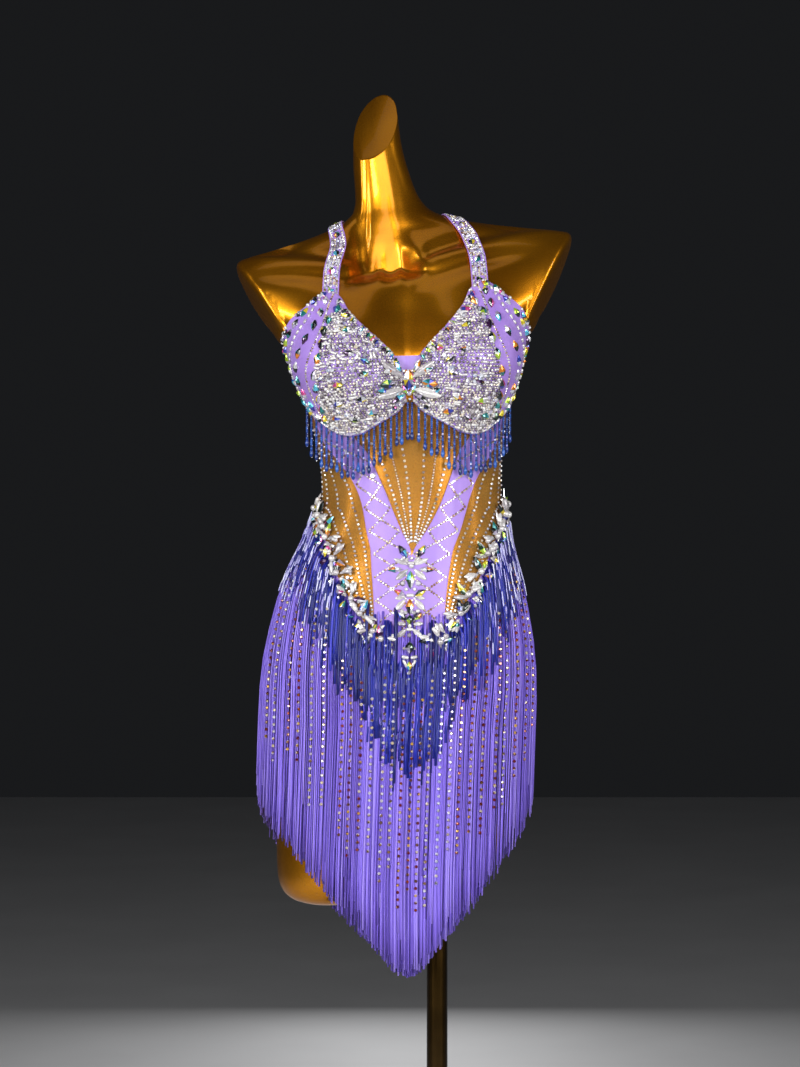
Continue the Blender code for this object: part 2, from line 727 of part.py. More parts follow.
def skirt_place(start, end, strands):
    def place(s, t):
        angle = start + (end - start) * s
        from_front = round_from_front(angle)
        top = HIP_HEIGHT(from_front) - SKIRT_STRIP_TOP
        if t >= 0:
            return figure_point(angle, top - SKIRT_STRIP_TALL * (1 - t), ON_CLOTH + 0.2)
        root = top - SKIRT_STRIP_TALL
        strand = min(int(s * strands), strands - 1)
        tip = hem_height(angle) + 7 * (strand * 2 % 3 - 1)
        # All steps but the last follow the hips down to their widest place.
        knee = max(SECTIONS[4].height, (root + tip) / 2)
        bend = 1 - 1 / SKIRT_STEPS
        height = root + (root - knee) * t / bend
        if -t > bend:
            height = knee - (knee - tip) * (-t - bend) * SKIRT_STEPS
        return hanging_point(angle, root, height, ON_CLOTH + FRINGE_SPREAD * min(1, -4 * t))

    return place


def bust_fringe_place(side):
    first, last = BUST_FRINGE_START, CUP_EDGES[-1].angle - 5

    def place(s, t):
        angle = first + (last - first) * (s if side > 0 else 1 - s)
        edge = CUP_LOWER(angle) - BUST_FRINGE_GAP
        root = figure_point(side * angle, edge, CUP_RIM + 0.2)
        if t >= 0:
            root.z = edge - BUST_STRIP_TALL * (1 - t)
            return root
        drop = BUST_DROP_CENTRE + (BUST_DROP_SIDE - BUST_DROP_CENTRE) * abs(math.sin(math.radians(angle)))
        root.z = edge - BUST_STRIP_TALL + drop * t
        return root

    return place


def build_fringe(collection):
    turn = 4 * seam_turn()
    for name, start, strands in (
        ("skirt_fringe_front", -90, SKIRT_FRONT_STRANDS), ("skirt_fringe_back", 90, SKIRT_BACK_STRANDS)
    ):
        ends = (start + turn, start + 180 - turn)
        comb(name, strands, SKIRT_STEPS, skirt_place(*ends, strands), "fringe_lavender", collection)
    for side_name, side in SIDES:
        comb(f"bust_fringe_{side_name}", BUST_STRANDS, 2, bust_fringe_place(side), "bead_blue", collection)


# ---------------------------------------------------------------- applied stones


def lobe_reach(lobes, direction):
    """The flower's outline: the longest lobe that covers a direction, with a small round middle."""
    reach = 6.0
    for lobe_direction, length, half_width in lobes:
        away = ((direction - lobe_direction + 180) % 360 - 180) / half_width
        reach = max(reach, length * math.exp(-away * away))
    return reach


def build_flower(flower, collection):
    """A cluster of stones: a flattened ball drawn out into lobes, laid on what is under it."""
    bm = bmesh.new()
    bmesh.ops.create_uvsphere(bm, u_segments=28, v_segments=6, radius=1)
    radius = figure_radius(0, flower.height)
    for vert in bm.verts:
        direction = math.atan2(vert.co.y, vert.co.x)
        reach = lobe_reach(flower.lobes, math.degrees(direction)) * vert.co.xy.length
        rise = flower.rise * (0.5 + 0.5 * vert.co.z)
        across, up = reach * math.cos(direction), reach * math.sin(direction)
        angle = math.degrees(across / radius)
        height = flower.height + up
        vert.co = posed(figure_point(angle, height, flower.out + cup_swell(abs(angle), height) + rise))
    add_object(flower.name, bm, "crystal", collection)


def build_garland(name, line_at, rows, rise, collection):
    """A run of stones: a flattened ball drawn out along a line, wide and narrow by turns."""
    half_width = Profile(rows, "half_width", key="along")
    bm = bmesh.new()
    bmesh.ops.create_uvsphere(bm, u_segments=6, v_segments=28, radius=1)
    for vert in bm.verts:
        along = math.acos(max(-1.0, min(1.0, vert.co.z))) / math.pi
        ring = vert.co.xy.normalized() if 0 < along < 1 else Vector((0, 0))
        angle, height, out = line_at(along)
        ahead_angle, ahead_height, _ = line_at(along + 0.01)
        radius = figure_radius(angle, height)
        ahead = Vector((math.radians(ahead_angle - angle) * radius, ahead_height - height)).normalized()
        across = Vector((ahead.y, -ahead.x)) * ring.x * half_width(along)
        angle += math.degrees(across.x / radius)
        vert.co = posed(figure_point(angle, height + across.y, out + rise * (0.5 + 0.5 * ring.y)))
    add_object(name, bm, "crystal", collection)


def build_applique(collection):
    for flower in FLOWERS:
        build_flower(flower, collection)

    def tail_at(along):
        height = TAIL_HIGH + (TAIL_LOW - TAIL_HIGH) * along
        lifted = min(max((TAIL_LIFTS_BELOW - height) / 20, 0), 1)
        return 0, height, ON_CLOTH + (ON_FRINGE - ON_CLOTH) * lifted

    build_garland("applique_front_tail", tail_at, TAIL, 4.5, collection)
    for side_name, side in SIDES:

        def hip_at(along, side=side):
            angle = HIP_GARLAND_START + (HIP_GARLAND_END - HIP_GARLAND_START) * along
            return side * angle, HIP_HEIGHT(angle) - HIP_GARLAND_DROP, ON_HEADING

        build_garland(f"applique_hip_{side_name}", hip_at, HIP_GARLAND, 4.5, collection)


def main():
    clear_scene()
    dress = new_collection("latin_dance_dress", shown=True)
    cutters = new_collection("cutters", shown=False)
    for name in FINISHES:
        finish_material(name)
    build_form(dress, cutters)
    build_stand(dress)
    build_bodice(dress)
    build_brief(dress)
    build_bra(dress)
    build_fringe(dress)
    build_applique(dress)


main()
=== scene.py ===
"""The looks of a latin dance dress on a display form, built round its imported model.

Sizes are in millimetres and angles in degrees round the figure from its centre front, and
points are turned into metres as they are placed. The front of the dress faces -Y.
"""

from bisect import bisect_right
from collections import namedtuple
from math import atan2, cos, degrees, exp, hypot, pi, radians, sin, tau

import bpy
import numpy as np
from mathutils import Matrix, Vector


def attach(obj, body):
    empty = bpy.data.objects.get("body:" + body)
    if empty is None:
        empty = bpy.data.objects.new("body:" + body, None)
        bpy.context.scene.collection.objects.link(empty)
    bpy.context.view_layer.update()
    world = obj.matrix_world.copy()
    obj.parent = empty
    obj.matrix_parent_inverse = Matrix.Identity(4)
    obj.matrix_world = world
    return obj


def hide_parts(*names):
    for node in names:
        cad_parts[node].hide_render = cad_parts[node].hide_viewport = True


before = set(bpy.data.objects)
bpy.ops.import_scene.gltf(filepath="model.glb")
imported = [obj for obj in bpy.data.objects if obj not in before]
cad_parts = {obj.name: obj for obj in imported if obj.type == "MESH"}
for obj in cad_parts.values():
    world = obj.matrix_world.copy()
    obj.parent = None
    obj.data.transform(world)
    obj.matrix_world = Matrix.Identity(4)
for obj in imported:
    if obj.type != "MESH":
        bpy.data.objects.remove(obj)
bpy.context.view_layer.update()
rng = np.random.default_rng(7)

MM = 0.001
SIDES = (("left", 1), ("right", -1))  # the wearer's own sides


class Profile:
    """A smooth curve through values at places, with no overshoot between them."""

    def __init__(self, at, value):
        self.at, self.value = at, value
        steps = [b - a for a, b in zip(at, at[1:])]
        rises = [b - a for a, b in zip(value, value[1:])]
        grades = [rise / step for rise, step in zip(rises, steps)]
        self.slope = [grades[0]]
        for before, after in zip(grades, grades[1:]):
            flat = before * after <= 0
            self.slope.append(0.0 if flat else 2 * before * after / (before + after))
        self.slope.append(grades[-1])

    def __call__(self, at):
        at = min(max(at, self.at[0]), self.at[-1])
        i = min(bisect_right(self.at, at), len(self.at) - 1) - 1
        step = self.at[i + 1] - self.at[i]
        t = (at - self.at[i]) / step
        start, end = self.value[i], self.value[i + 1]
        rise = start + (end - start) * t * t * (3 - 2 * t)
        bend_start = self.slope[i] * step * t * (1 - t) ** 2
        bend_end = self.slope[i + 1] * step * t * t * (1 - t)
        return rise + bend_start - bend_end


def profiles(*rows):
    """A profile for each column of a table but its first, which says where the rows stand."""
    at, *columns = zip(*rows)
    return [Profile(at, column) for column in columns]


# ---------------- the figure, as in the solids

# Each section's height, half width, depth in front and behind, centre and squareness
HALF_WIDTH, FRONT, BACK, CENTRE, SQUARENESS = profiles(
    (765, 108, 48, 58, 4, 2.2), (772, 132, 72, 82, 4, 2.2), (785, 144, 84, 98, 4, 2.2),
    (800, 150, 92, 108, 3, 2.2), (850, 159, 99, 121, 0, 2.2), (900, 156, 102, 121, 0, 2.2),
    (950, 147, 102, 114, 0, 2.2), (1000, 134, 98, 102, 0, 2.2), (1050, 116, 92, 90, 0, 2.2),
    (1100, 106, 87, 81, 0, 2.2), (1135, 107, 88, 79, 0, 2.2), (1170, 112, 92, 80, 0, 2.2),
    (1210, 121, 97, 84, 0, 2.2), (1250, 129, 99, 88, 0, 2.2), (1290, 148, 96, 91, 2, 2.3),
    (1320, 182, 88, 90, 4, 2.4), (1350, 208, 76, 84, 6, 2.4), (1375, 214, 62, 72, 7, 2.3),
    (1394, 200, 45, 57, 8, 2.2), (1405, 150, 37, 50, 9, 2.1), (1412, 116, 34, 47, 10, 2.0),
    (1421, 82, 33, 44, 11, 2.0), (1430, 58, 32, 42, 12, 2.0), (1440, 45, 31, 40, 13, 2.0),
    (1456, 38, 30, 38, 14, 2.0), (1492, 33, 29, 36, 16, 2.0), (1528, 29, 28, 34, 18, 2.0),
    (1600, 26, 27, 32, 20, 2.0),
)
WIDEST_HIP = 850
BUST_ANGLE, BUST_SPREAD = 41, 27
BUST_HEIGHT, BUST_ABOVE, BUST_BELOW = 1252, 58, 46
BUST_RISE = 33
# The figure's stance: how far it is shifted, rolled and turned at each height
SHIFT, ROLL, YAW = profiles(
    (640, -19, 0.0, 6.0), (850, -12, 0.0, 6.0), (1000, -6, 0.0, 5.0), (1100, 4, 0.5, 3.0),
    (1250, -2, 1.8, 0.5), (1394, -5, 5.0, 0.0), (1432, -19, 4.0, 0.0), (1474, -30, 2.0, 0.0),
    (1510, -36, 0.0, 0.0), (1560, -40, 0.0, 0.0),
)
THIGH_APART, THIGH_BACK = 78, 4
THIGH_HALF_WIDTH, THIGH_HALF_DEPTH = profiles(
    (610, 30, 38), (613, 40, 48), (621, 51, 59), (636, 58, 67), (665, 61, 71), (710, 62, 74),
    (765, 61, 74), (800, 57, 70), (840, 46, 58),
)
# How far the wearer's left stub is drawn in on its outer side, which keeps it behind the fringe
(DRAWN_IN,) = profiles(
    (610, 16), (613, 22), (621, 27), (636, 24), (665, 15), (710, 0), (840, 0),
)
SHOULDER_TIP, ARMPIT = (197, 1394), (145, 1292)
SHOULDER_CUT_AHEAD = 17  # how far the cuts face forward, against a rise of 102
SHOULDER_PROUD = 9  # the rounded rims stand a little beyond the frame's plain cuts
NOTCH_ASIDE = 18  # the notch of the throat lies this far to the wearer's right
NECK_CUT_HEIGHT, NECK_CUT_RISE_LEFT, NECK_CUT_RISE_BACK = 1541, 0.62, 1.29
POLE_X, POLE_Y, POLE_RADIUS, POLE_SOCKET = 35, 4, 12.5, 70

# Seams of the dress, as in the solids: the edges of the front V and of the strips, by height
BODICE_TOP, BODICE_FOOT = 1205, 931
V_EDGE, STRIP_EDGE = profiles(
    (BODICE_FOOT, 0.0, 21.7), (968, 0.0, 22.8), (996, 0.0, 24.7), (1023, 0.0, 27.2), (1030, 1.2, 28.0),
    (1052, 9.0, 32.8), (1084, 19.0, 39.2), (1114, 26.7, 47.0), (1144, 34.0, 61.0), (1164, 41.6, 70.0),
    (BODICE_TOP, 48.0, 75.0),
)
V_POINT, SIDE_MESH_FOOT, SIDE_SEAM_FOOT = 1030, 938, 1080
# Heights round one side of the figure, by angle
(HIP_HEIGHT,) = profiles(
    (0, 930), (21.7, 931), (29, 950), (38, 976), (46, 1000), (54, 1024), (66, 1052),
    (90, SIDE_SEAM_FOOT), (120, 1062), (150, 1032), (180, 1012),
)
(LEG_HEIGHT,) = profiles(
    (0, 790), (10, 790), (20, 818), (35, 852), (60, 900), (90, 930), (120, 902), (150, 840), (170, 790),
    (180, 790),
)
CROTCH, GUSSET_HALF, GUSSET_DROP, GUSSET_FRONT, GUSSET_BACK = 789.5, 13, 32, -86, 108
CUP_LOWER, CUP_UPPER = profiles(
    (3.5, 1204, 1233), (8.5, 1194, 1254), (15.0, 1187, 1269), (21.5, 1181, 1282), (28.0, 1175, 1296),
    (35.0, 1169, 1311), (42.0, 1167, 1329), (49.0, 1169, 1337), (56.0, 1177, 1318), (64.0, 1189, 1302),
    (72.0, 1206, 1286), (79.0, 1230, 1262),
)
CUP_INNER, CUP_OUTER = CUP_LOWER.at[0], CUP_LOWER.at[-1]
CUP_RIM, CUP_SWELL, CUP_WALL = 2.1, 8.0, 3.0
BAND_LOW, BAND_HIGH, BAND_START = 1205.3, 1246, 68
BRIDGE_LOW, BRIDGE_HIGH, BRIDGE_REACH = 1240, 1256, 12
STRAP_WIDTH, STRAP_AXIS_Y, STRAP_AXIS_Z = 19, 8, 1325
# How far aside a strap lies and how far off the shoulder, by its turn about its axis
STRAP_ACROSS, STRAP_LIFT = profiles(
    (-2, 88, 0.0), (30, 86, 0.4), (60, 78, 0.8), (90, 70, 0.9), (120, 62, 1.0), (150, 54, 0.4),
    (190, 48, 0.2), (205, 46, 0.6), (215, 46, 1.7), (226, 46, 1.7),
)

# Cloth, fringe and stones of the finished dress
FORM_IN = 0.6  # the lacquer lies just under the cloth
CLOTH_OUT, CLOTH = 0.4, 0.7  # the cloth's inner side off the figure, and its thickness
ON_CLOTH = CLOTH_OUT + CLOTH
HEADING_DROP = 6  # the fringe's heading tape, below the hip line
HEM_TURN = 4  # the front hem's point lies a little to the wearer's left
(HEM_HEIGHT,) = profiles(
    (0, 538), (10, 549), (20, 570), (30, 593), (40, 615), (50, 643), (60, 672), (70, 700), (80, 724),
    (90, 748),
)
(BLUE_HEM_HEIGHT,) = profiles(
    (0, 782), (12, 792), (22, 822), (30, 852), (37, 872), (47, 908), (60, 950), (75, 990), (90, 1020),
)
(GARLAND_HEIGHT,) = profiles(
    (15, 922), (25, 936), (32, 957), (41, 987), (49, 1015), (60, 1044), (72, 1066), (88, 1080),
)
# Rows of stones down a cup: their angles from the centre front at each height
BORDER, FINE, MIDDLE, OVALS, OUTER = profiles(
    (1170, 58.0, 60.0, 62.0, 64.0, 66.0), (1200, 52.8, 56.5, 60.5, 64.5, 67.5),
    (1215, 49.5, 54.0, 60.0, 65.0, 71.0), (1230, 46.5, 51.3, 58.7, 65.0, 74.5),
    (1240, 44.5, 49.3, 57.0, 64.0, 75.5), (1255, 41.5, 46.0, 53.8, 62.0, 75.0),
    (1270, 40.5, 43.6, 50.2, 59.0, 71.5), (1290, 41.0, 42.6, 46.8, 54.5, 62.5),
    (1305, 40.3, 43.4, 46.3, 51.4, 57.0), (1318, 39.0, 44.5, 47.0, 50.6, 53.4),
    (1340, 40.0, 45.5, 47.5, 49.5, 51.0),
)
CUP_FOOT, CUP_TOP = BORDER.at[0], BORDER.at[-1]
# By height, the two tendons down the throat, how deep the hollow between them is, and beside them
TENDON_RIGHT, TENDON_LEFT, HOLLOW, HOLLOW_BESIDE = profiles(
    (1328, -53, 8, 0.0, 0.0), (1340, -53, 8, 0.6, 0.0), (1347, -53, 8, 3.0, 0.0),
    (1351, -53, 8, 9.0, 0.5), (1355, -53, 7, 23.0, 2.5), (1359, -53, 7, 34.0, 5.0),
    (1362, -53, 6, 35.4, 6.5), (1366, -53, 6, 33.6, 7.6), (1371, -53, 5, 30.9, 8.6),
    (1378, -53, 2, 26.6, 9.2), (1386, -53, -1, 20.0, 9.6), (1390, -53, -3, 16.5, 9.7),
    (1394, -53, -4, 13.4, 9.6), (1400, -53, -6, 9.0, 9.4), (1405, -53, -7, 6.0, 9.2),
    (1412, -53, -9, 3.0, 8.4), (1421, -53, -11, 2.4, 7.0), (1430, -53, -13, 1.9, 3.8),
    (1444, -53, -15, 1.6, 0.4), (1490, -54, -21, 1.2, 0.0), (1520, -55, -26, 0.0, 0.0),
)
TENDON_HEADS = (-31, -6)  # the hollow ends a little higher where a tendon's head crosses it
# How high the collar bones run on the bare form, by the distance from the throat's notch
(BONE_HEIGHT,) = profiles((10, 1352), (60, 1372), (120, 1386), (190, 1393))


def from_front(angle):
    """The angle as 0 at the centre front to 180 at the centre back, on either side."""
    return abs((angle + 180) % 360 - 180)


def clamped(share):
    return min(max(share, 0), 1)


def figure_radius(angle, height):
    """Distance from the section's centre to the figure's surface."""
    turn = radians(angle)
    side, ahead = abs(sin(turn)), cos(turn)
    depth = (FRONT if ahead >= 0 else BACK)(height)
    power = SQUARENESS(height)
    oval = (side / HALF_WIDTH(height)) ** power + (abs(ahead) / depth) ** power
    across = (from_front(angle) - BUST_ANGLE) / BUST_SPREAD
    up = (height - BUST_HEIGHT) / (BUST_ABOVE if height > BUST_HEIGHT else BUST_BELOW)
    return oval ** (-1 / power) + BUST_RISE * exp(-across * across - up * up)


def skin(angle, height):
    turn, radius = radians(angle), figure_radius(angle, height)
    return Vector((radius * sin(turn), CENTRE(height) - radius * cos(turn), height))


def figure_point(angle, height, out=0.0):
    """A point that lies out millimetres off the figure's surface, square to it."""
    round_step = skin(angle + 0.5, height) - skin(angle - 0.5, height)
    up_step = skin(angle, height + 1) - skin(angle, height - 1)
    return skin(angle, height) + round_step.cross(up_step).normalized() * out


def posed(point):
    """The point moved with the figure's stance, in metres."""
    x, y, z = point
    yaw, roll = radians(YAW(z)), radians(ROLL(z))
    turned_x = x * cos(yaw) - y * sin(yaw)
    turned_y = x * sin(yaw) + y * cos(yaw)
    return Vector((turned_x + SHIFT(z), turned_y, z + turned_x * sin(roll))) * MM


def hip_height(angle):
    return HIP_HEIGHT(from_front(angle))


def leg_height(angle):
    return LEG_HEIGHT(from_front(angle))


def halved(low, high, fine, too_low):
    """The ends of a short stretch, found by halving, where too_low turns from true to false."""
    while high - low > fine:
        middle = (low + high) / 2
        low, high = (middle, high) if too_low(middle) else (low, middle)
    return low, high


def hip_angle(height):
    """Where the hip line crosses a height of the front, or the side seam above it."""
    return halved(0.0, 90.0, 0.001, lambda angle: HIP_HEIGHT(angle) < height)[1]


def cup_point(angle, height, out=0.0):
    """A point off a cup's outer side, which swells in its middle."""
    turn = from_front(angle)
    across = (turn - CUP_INNER) / (CUP_OUTER - CUP_INNER)
    up = (height - CUP_LOWER(turn)) / (CUP_UPPER(turn) - CUP_LOWER(turn))
    inside = 0 < across < 1 and 0 < up < 1
    swell = (sin(pi * across) * sin(pi * up)) ** 0.8 if inside else 0.0
    return figure_point(angle, height, CUP_RIM + CUP_SWELL * swell + out)


def strap_point(s, t, side, out=0.0):
    """A point of a strap: from the strap's own axis, out through the shoulder to its surface."""
    angle = STRAP_ACROSS.at[0] + (STRAP_ACROSS.at[-1] - STRAP_ACROSS.at[0]) * t
    x = side * STRAP_ACROSS(angle) + (s - 0.5) * STRAP_WIDTH
    way = Vector((0, -cos(radians(angle)), sin(radians(angle))))
    start = Vector((x, STRAP_AXIS_Y, STRAP_AXIS_Z))

    def under_skin(reach):
        x, y, height = start + way * reach
        y -= CENTRE(height)
        return hypot(x, y) - figure_radius(degrees(atan2(x, -y)), height) <= 0

    reach = halved(0.0, 200.0, 0.02, under_skin)[0]
    return start + way * (reach + STRAP_LIFT(angle) + out)


# ---------------- finishes

# A finish as pieces take it: the material, and the name of its slot
Look = namedtuple("Look", "material slot")


class Field:
    """A socket whose values can be worked with like numbers."""

    def __init__(self, finish, socket):
        self.finish, self.socket = finish, socket

    def maths(self, operation, other):
        return self.finish.node("Math", {0: self, 1: other}, operation=operation)

    def __add__(self, other):
        return self.maths("ADD", other)

    def __mul__(self, other):
        return self.maths("MULTIPLY", other)

    __radd__ = __add__


class Finish:
    """A material: its steady values go on the shader, and nodes are added for what varies."""

    def __init__(self, name, slot="", **steady):
        self.look = Look(bpy.data.materials.new(name), slot)
        self.look.material.use_nodes = True
        self.tree = self.look.material.node_tree
        self.shader = self.tree.nodes["Principled BSDF"]
        self.feed(self.shader, {name.replace("_", " "): value for name, value in steady.items()})

    def feed(self, node, values):
        """Sets or links a node's sockets."""
        for name, value in values.items():
            if isinstance(value, Field):
                self.tree.links.new(value.socket, node.inputs[name])
            else:
                node.inputs[name].default_value = value

    def node(self, kind, values, output=0, **settings):
        """Adds a node and returns one of its outputs."""
        node = self.tree.nodes.new("ShaderNode" + kind)
        for name, value in settings.items():
            setattr(node, name, value)
        self.feed(node, values)
        return Field(self, node.outputs[output])

    def place(self, stretch=(1, 1, 1)):
        """Object coordinates in metres, stretched for a grain."""
        coordinates = self.node("TexCoord", {}, "Object")
        return self.node("Mapping", {"Vector": coordinates, "Scale": stretch})

    def along_cloth(self):
        """The piece's own map, whose unit is a metre of cloth."""
        return self.node("TexCoord", {}, "UV")

    def noise(self, scale, detail=3.0, stretch=(1, 1, 1)):
        vector = self.place(stretch)
        return self.node("TexNoise", {"Vector": vector, "Scale": scale, "Detail": detail})

    def bands(self, vector, direction, scale):
        values = {"Vector": vector, "Scale": scale}
        return self.node("TexWave", values, "Fac", bands_direction=direction)

    def ramp(self, factor, *stops, steps="LINEAR"):
        found = self.node("ValToRGB", {"Fac": factor})
        ramp = found.socket.node.color_ramp
        while len(ramp.elements) < len(stops):
            ramp.elements.new(0.5)
        for element, (at, colour) in zip(ramp.elements, stops):
            element.position, element.color = at, (*colour, 1)
        ramp.interpolation = steps
        return found

    def blend(self, factor, colours):
        """The colours at even steps, mixed between them."""
        last = len(colours) - 1
        return self.ramp(factor, *((i / last, colour) for i, colour in enumerate(colours)))

    def tint(self):
        """The number that each copy or facet of a piece carries, from 0 to 1."""
        return self.node("Attribute", {}, "Fac", attribute_name="tint")

    def made(self, colour, roughness, relief=None, **others):
        """Feeds what varies to the shader. Relief is a height, its depth and its strength."""
        if relief:
            height, depth, strength = relief
            bump = {"Strength": strength, "Distance": depth * MM, "Height": height}
            others["Normal"] = self.node("Bump", bump)
        self.feed(self.shader, {"Base Color": colour, "Roughness": roughness, **others})
        return self.look


def lacquer_finish():
    """Dark gold metallic lacquer: a fine flake under a thin clear gloss coat."""
    finish = Finish("gold_lacquer", "form", Metallic=0.94, Coat_Weight=0.35, Coat_Roughness=0.05)
    flake, cloud = finish.noise(2600.0, 1.0), finish.noise(9.0)
    deep, bright = (0.62, 0.208, 0.004), (0.90, 0.355, 0.012)
    colour = finish.ramp(cloud * 0.8 + flake * 0.2, (0.3, deep), (0.7, bright))
    return finish.made(colour, 0.25 + flake * 0.05, (finish.noise(230.0, 2.0), 0.10, 0.08))


def brass_finish():
    """Bronzed brass tube and plate, with fine drawn lines and faint handling marks."""
    finish = Finish("stand_brass", "brass", Metallic=1.0, Coat_Weight=0.2)
    lines, marks = finish.noise(6.0, 4.0, (400, 400, 4)), finish.noise(22.0, 5.0)
    dull, clean = (0.034, 0.018, 0.004), (0.065, 0.036, 0.009)
    colour = finish.ramp(marks * 0.7 + lines * 0.3, (0.35, dull), (0.62, clean))
    return finish.made(colour, 0.24 + marks * 0.14, (lines, 0.05, 0.3))


def satin_finish():
    """Lavender stretch satin: a close warp knit with a soft sheen and faint pull lines."""
    steady = {"Sheen_Weight": 0.15, "Sheen_Roughness": 0.35, "Coat_Weight": 0.12}
    finish = Finish("lavender_satin", "satin", **steady)
    cloth = finish.along_cloth()
    knit = finish.bands(cloth, "X", 420.0) * 0.6 + finish.bands(cloth, "Y", 540.0) * 0.4
    pull = finish.noise(38.0, 4.0, (1, 1, 0.25))
    shade, light = (0.31, 0.175, 0.60), (0.46, 0.285, 0.80)
    colour = finish.ramp(knit * 0.35 + pull * 0.65, (0.25, shade), (0.7, light))
    return finish.made(colour, 0.33 + pull * 0.22, (knit * 0.6 + pull, 0.25, 0.45))


def mesh_finish():
    """Fine skin-tone power mesh: open holes between thin yarns."""
    finish = Finish("sheer_mesh", "sheer", Specular_IOR_Level=0.15)
    cells = {"Vector": finish.along_cloth(), "Scale": 1500.0}
    holes = finish.node("TexVoronoi", cells, "Distance")
    grey = finish.ramp(holes, (0.25, (0, 0, 0)), (0.5, (1, 1, 1)))
    yarn = finish.node("RGBToBW", {"Color": grey})
    shade, light = (0.37, 0.185, 0.034), (0.48, 0.250, 0.048)
    colour = finish.ramp(finish.noise(30.0), (0.3, shade), (0.7, light))
    return finish.made(colour, 0.45 + yarn * 0.2, Alpha=0.28 + yarn * 0.11)


def fringe_finish(name, *colours):
    """Chainette or cord: each strand a little lighter or darker, with its twisted chain."""
    steady = {"Sheen_Weight": 0.05, "Sheen_Roughness": 0.3, "Coat_Weight": 0.2}
    finish = Finish(name, "fringe", **steady)
    chain = finish.bands(finish.place(), "Z", 330.0)
    streak = finish.noise(160.0, 3.0, (1, 1, 0.06))
    colour = finish.blend(finish.tint() * 0.75 + streak * 0.25, colours)
    return finish.made(colour, 0.22 + streak * 0.2, (chain, 0.2, 0.5))


def bead_finish(name, roughness, *colours):
    """Glossy glass beads, each with its own depth of colour."""
    finish = Finish(name, "bead", Coat_Weight=0.6, Coat_Roughness=0.03, IOR=1.5)
    speck = finish.noise(700.0, 2.0)
    colour = finish.blend(finish.tint() * 0.85 + speck * 0.15, colours)
    return finish.made(colour, roughness + speck * 0.12, (speck, 0.05, 0.3))


def stone_finish(name, metallic, *colours):
    """Cut crystal on foil: every facet keeps one fixed colour, unmixed, partly the stone's own colour and
    coating and partly painted glints and painted dark reflections.
    """
    finish = Finish(name, "crystal", Coat_Weight=1.0, Coat_Roughness=0.01, IOR=1.8)
    facet, scratch = finish.tint(), finish.noise(900.0, 2.0)
    stops = [(i / len(colours), colour) for i, colour in enumerate(colours)]
    colour = finish.ramp(facet, *stops, steps="CONSTANT")
    return finish.made(colour, 0.05 + scratch * 0.10, Metallic=metallic + facet * 0.15)


def pearl_finish():
    """White satin pearl: grey and lilac painted shade under long soft painted streaks of light."""
    finish = Finish("white_pearl", "crystal", Coat_Weight=1.0, Coat_Roughness=0.04, Metallic=0.25)
    painted_sheen = finish.noise(330.0, 2.0)
    # painted shade, painted light and painted highlight, spread at random by a noise; the same noise also
    # varies roughness and relief
    shade, light, high = (0.34, 0.30, 0.32), (0.64, 0.61, 0.62), (0.90, 0.88, 0.85)
    mixed = painted_sheen * 0.65 + finish.tint() * 0.35
    colour = finish.ramp(mixed, (0.25, shade), (0.48, light), (0.75, high))
    return finish.made(colour, 0.12 + painted_sheen * 0.18, (painted_sheen, 0.12, 0.35))


def silver_finish():
    """Silver-lined glass seed beads, clear to lilac."""
    finish = Finish("silver_seed", "crystal", Coat_Weight=1.0, Coat_Roughness=0.02, Metallic=0.4)
    speck = finish.noise(500.0, 2.0)
    dark, lilac, clear, warm = (0.09, 0.07, 0.07), (0.32, 0.275, 0.29), (0.72, 0.67, 0.64), (0.80, 0.69, 0.5)
    stops = (0.1, dark), (0.4, lilac), (0.7, clear), (0.95, warm)
    colour = finish.ramp(finish.tint() * 0.8 + speck * 0.2, *stops)
    return finish.made(colour, 0.05 + speck * 0.12)


# Facet colours: the white and the palest tints are painted glints, the near black and the dark greys are
# painted dark reflections, and the rest are the stones' own colour and coating
PAINTED_DARK, PAINTED_GLINT, LILAC = (0.010, 0.016, 0.016), (0.95, 0.95, 0.98), (0.60, 0.54, 0.72)
CRYSTAL = stone_finish(
    "clear_crystal", 0.25, (0.40, 0.37, 0.42), PAINTED_GLINT, LILAC, (0.78, 0.80, 0.88), (0.20, 0.18, 0.22),
    (0.86, 0.84, 0.86), (0.50, 0.55, 0.72), (0.92, 0.82, 0.64), (0.30, 0.27, 0.30),
)
AURORA = stone_finish(
    "aurora_crystal", 0.45, PAINTED_DARK, (0.02, 0.24, 0.24), (0.95, 0.76, 0.04), PAINTED_DARK, PAINTED_GLINT,
    (0.12, 0.60, 0.82), PAINTED_DARK, (0.80, 0.10, 0.36), (0.05, 0.07, 0.50), (0.90, 0.92, 1.0),
    (0.50, 0.74, 0.05), (0.03, 0.08, 0.04), (0.90, 0.30, 0.03), LILAC, (0.07, 0.02, 0.09),
)
CHAMPAGNE = stone_finish(
    "champagne_crystal", 0.30, (0.16, 0.09, 0.06), (0.80, 0.66, 0.42), (0.50, 0.42, 0.58), PAINTED_GLINT,
    (0.34, 0.18, 0.08), (0.82, 0.78, 0.74), (0.58, 0.46, 0.34),
)
SUNSET = stone_finish(
    "amber_crystal", 0.40, (0.16, 0.012, 0.010), (0.85, 0.50, 0.10), (0.24, 0.015, 0.02),
    (0.92, 0.80, 0.60), (0.42, 0.07, 0.015), (0.20, 0.08, 0.01), (0.30, 0.16, 0.10),
)
LACQUER, BRASS, SATIN, MESH = lacquer_finish(), brass_finish(), satin_finish(), mesh_finish()
PEARL, SILVER = pearl_finish(), silver_finish()
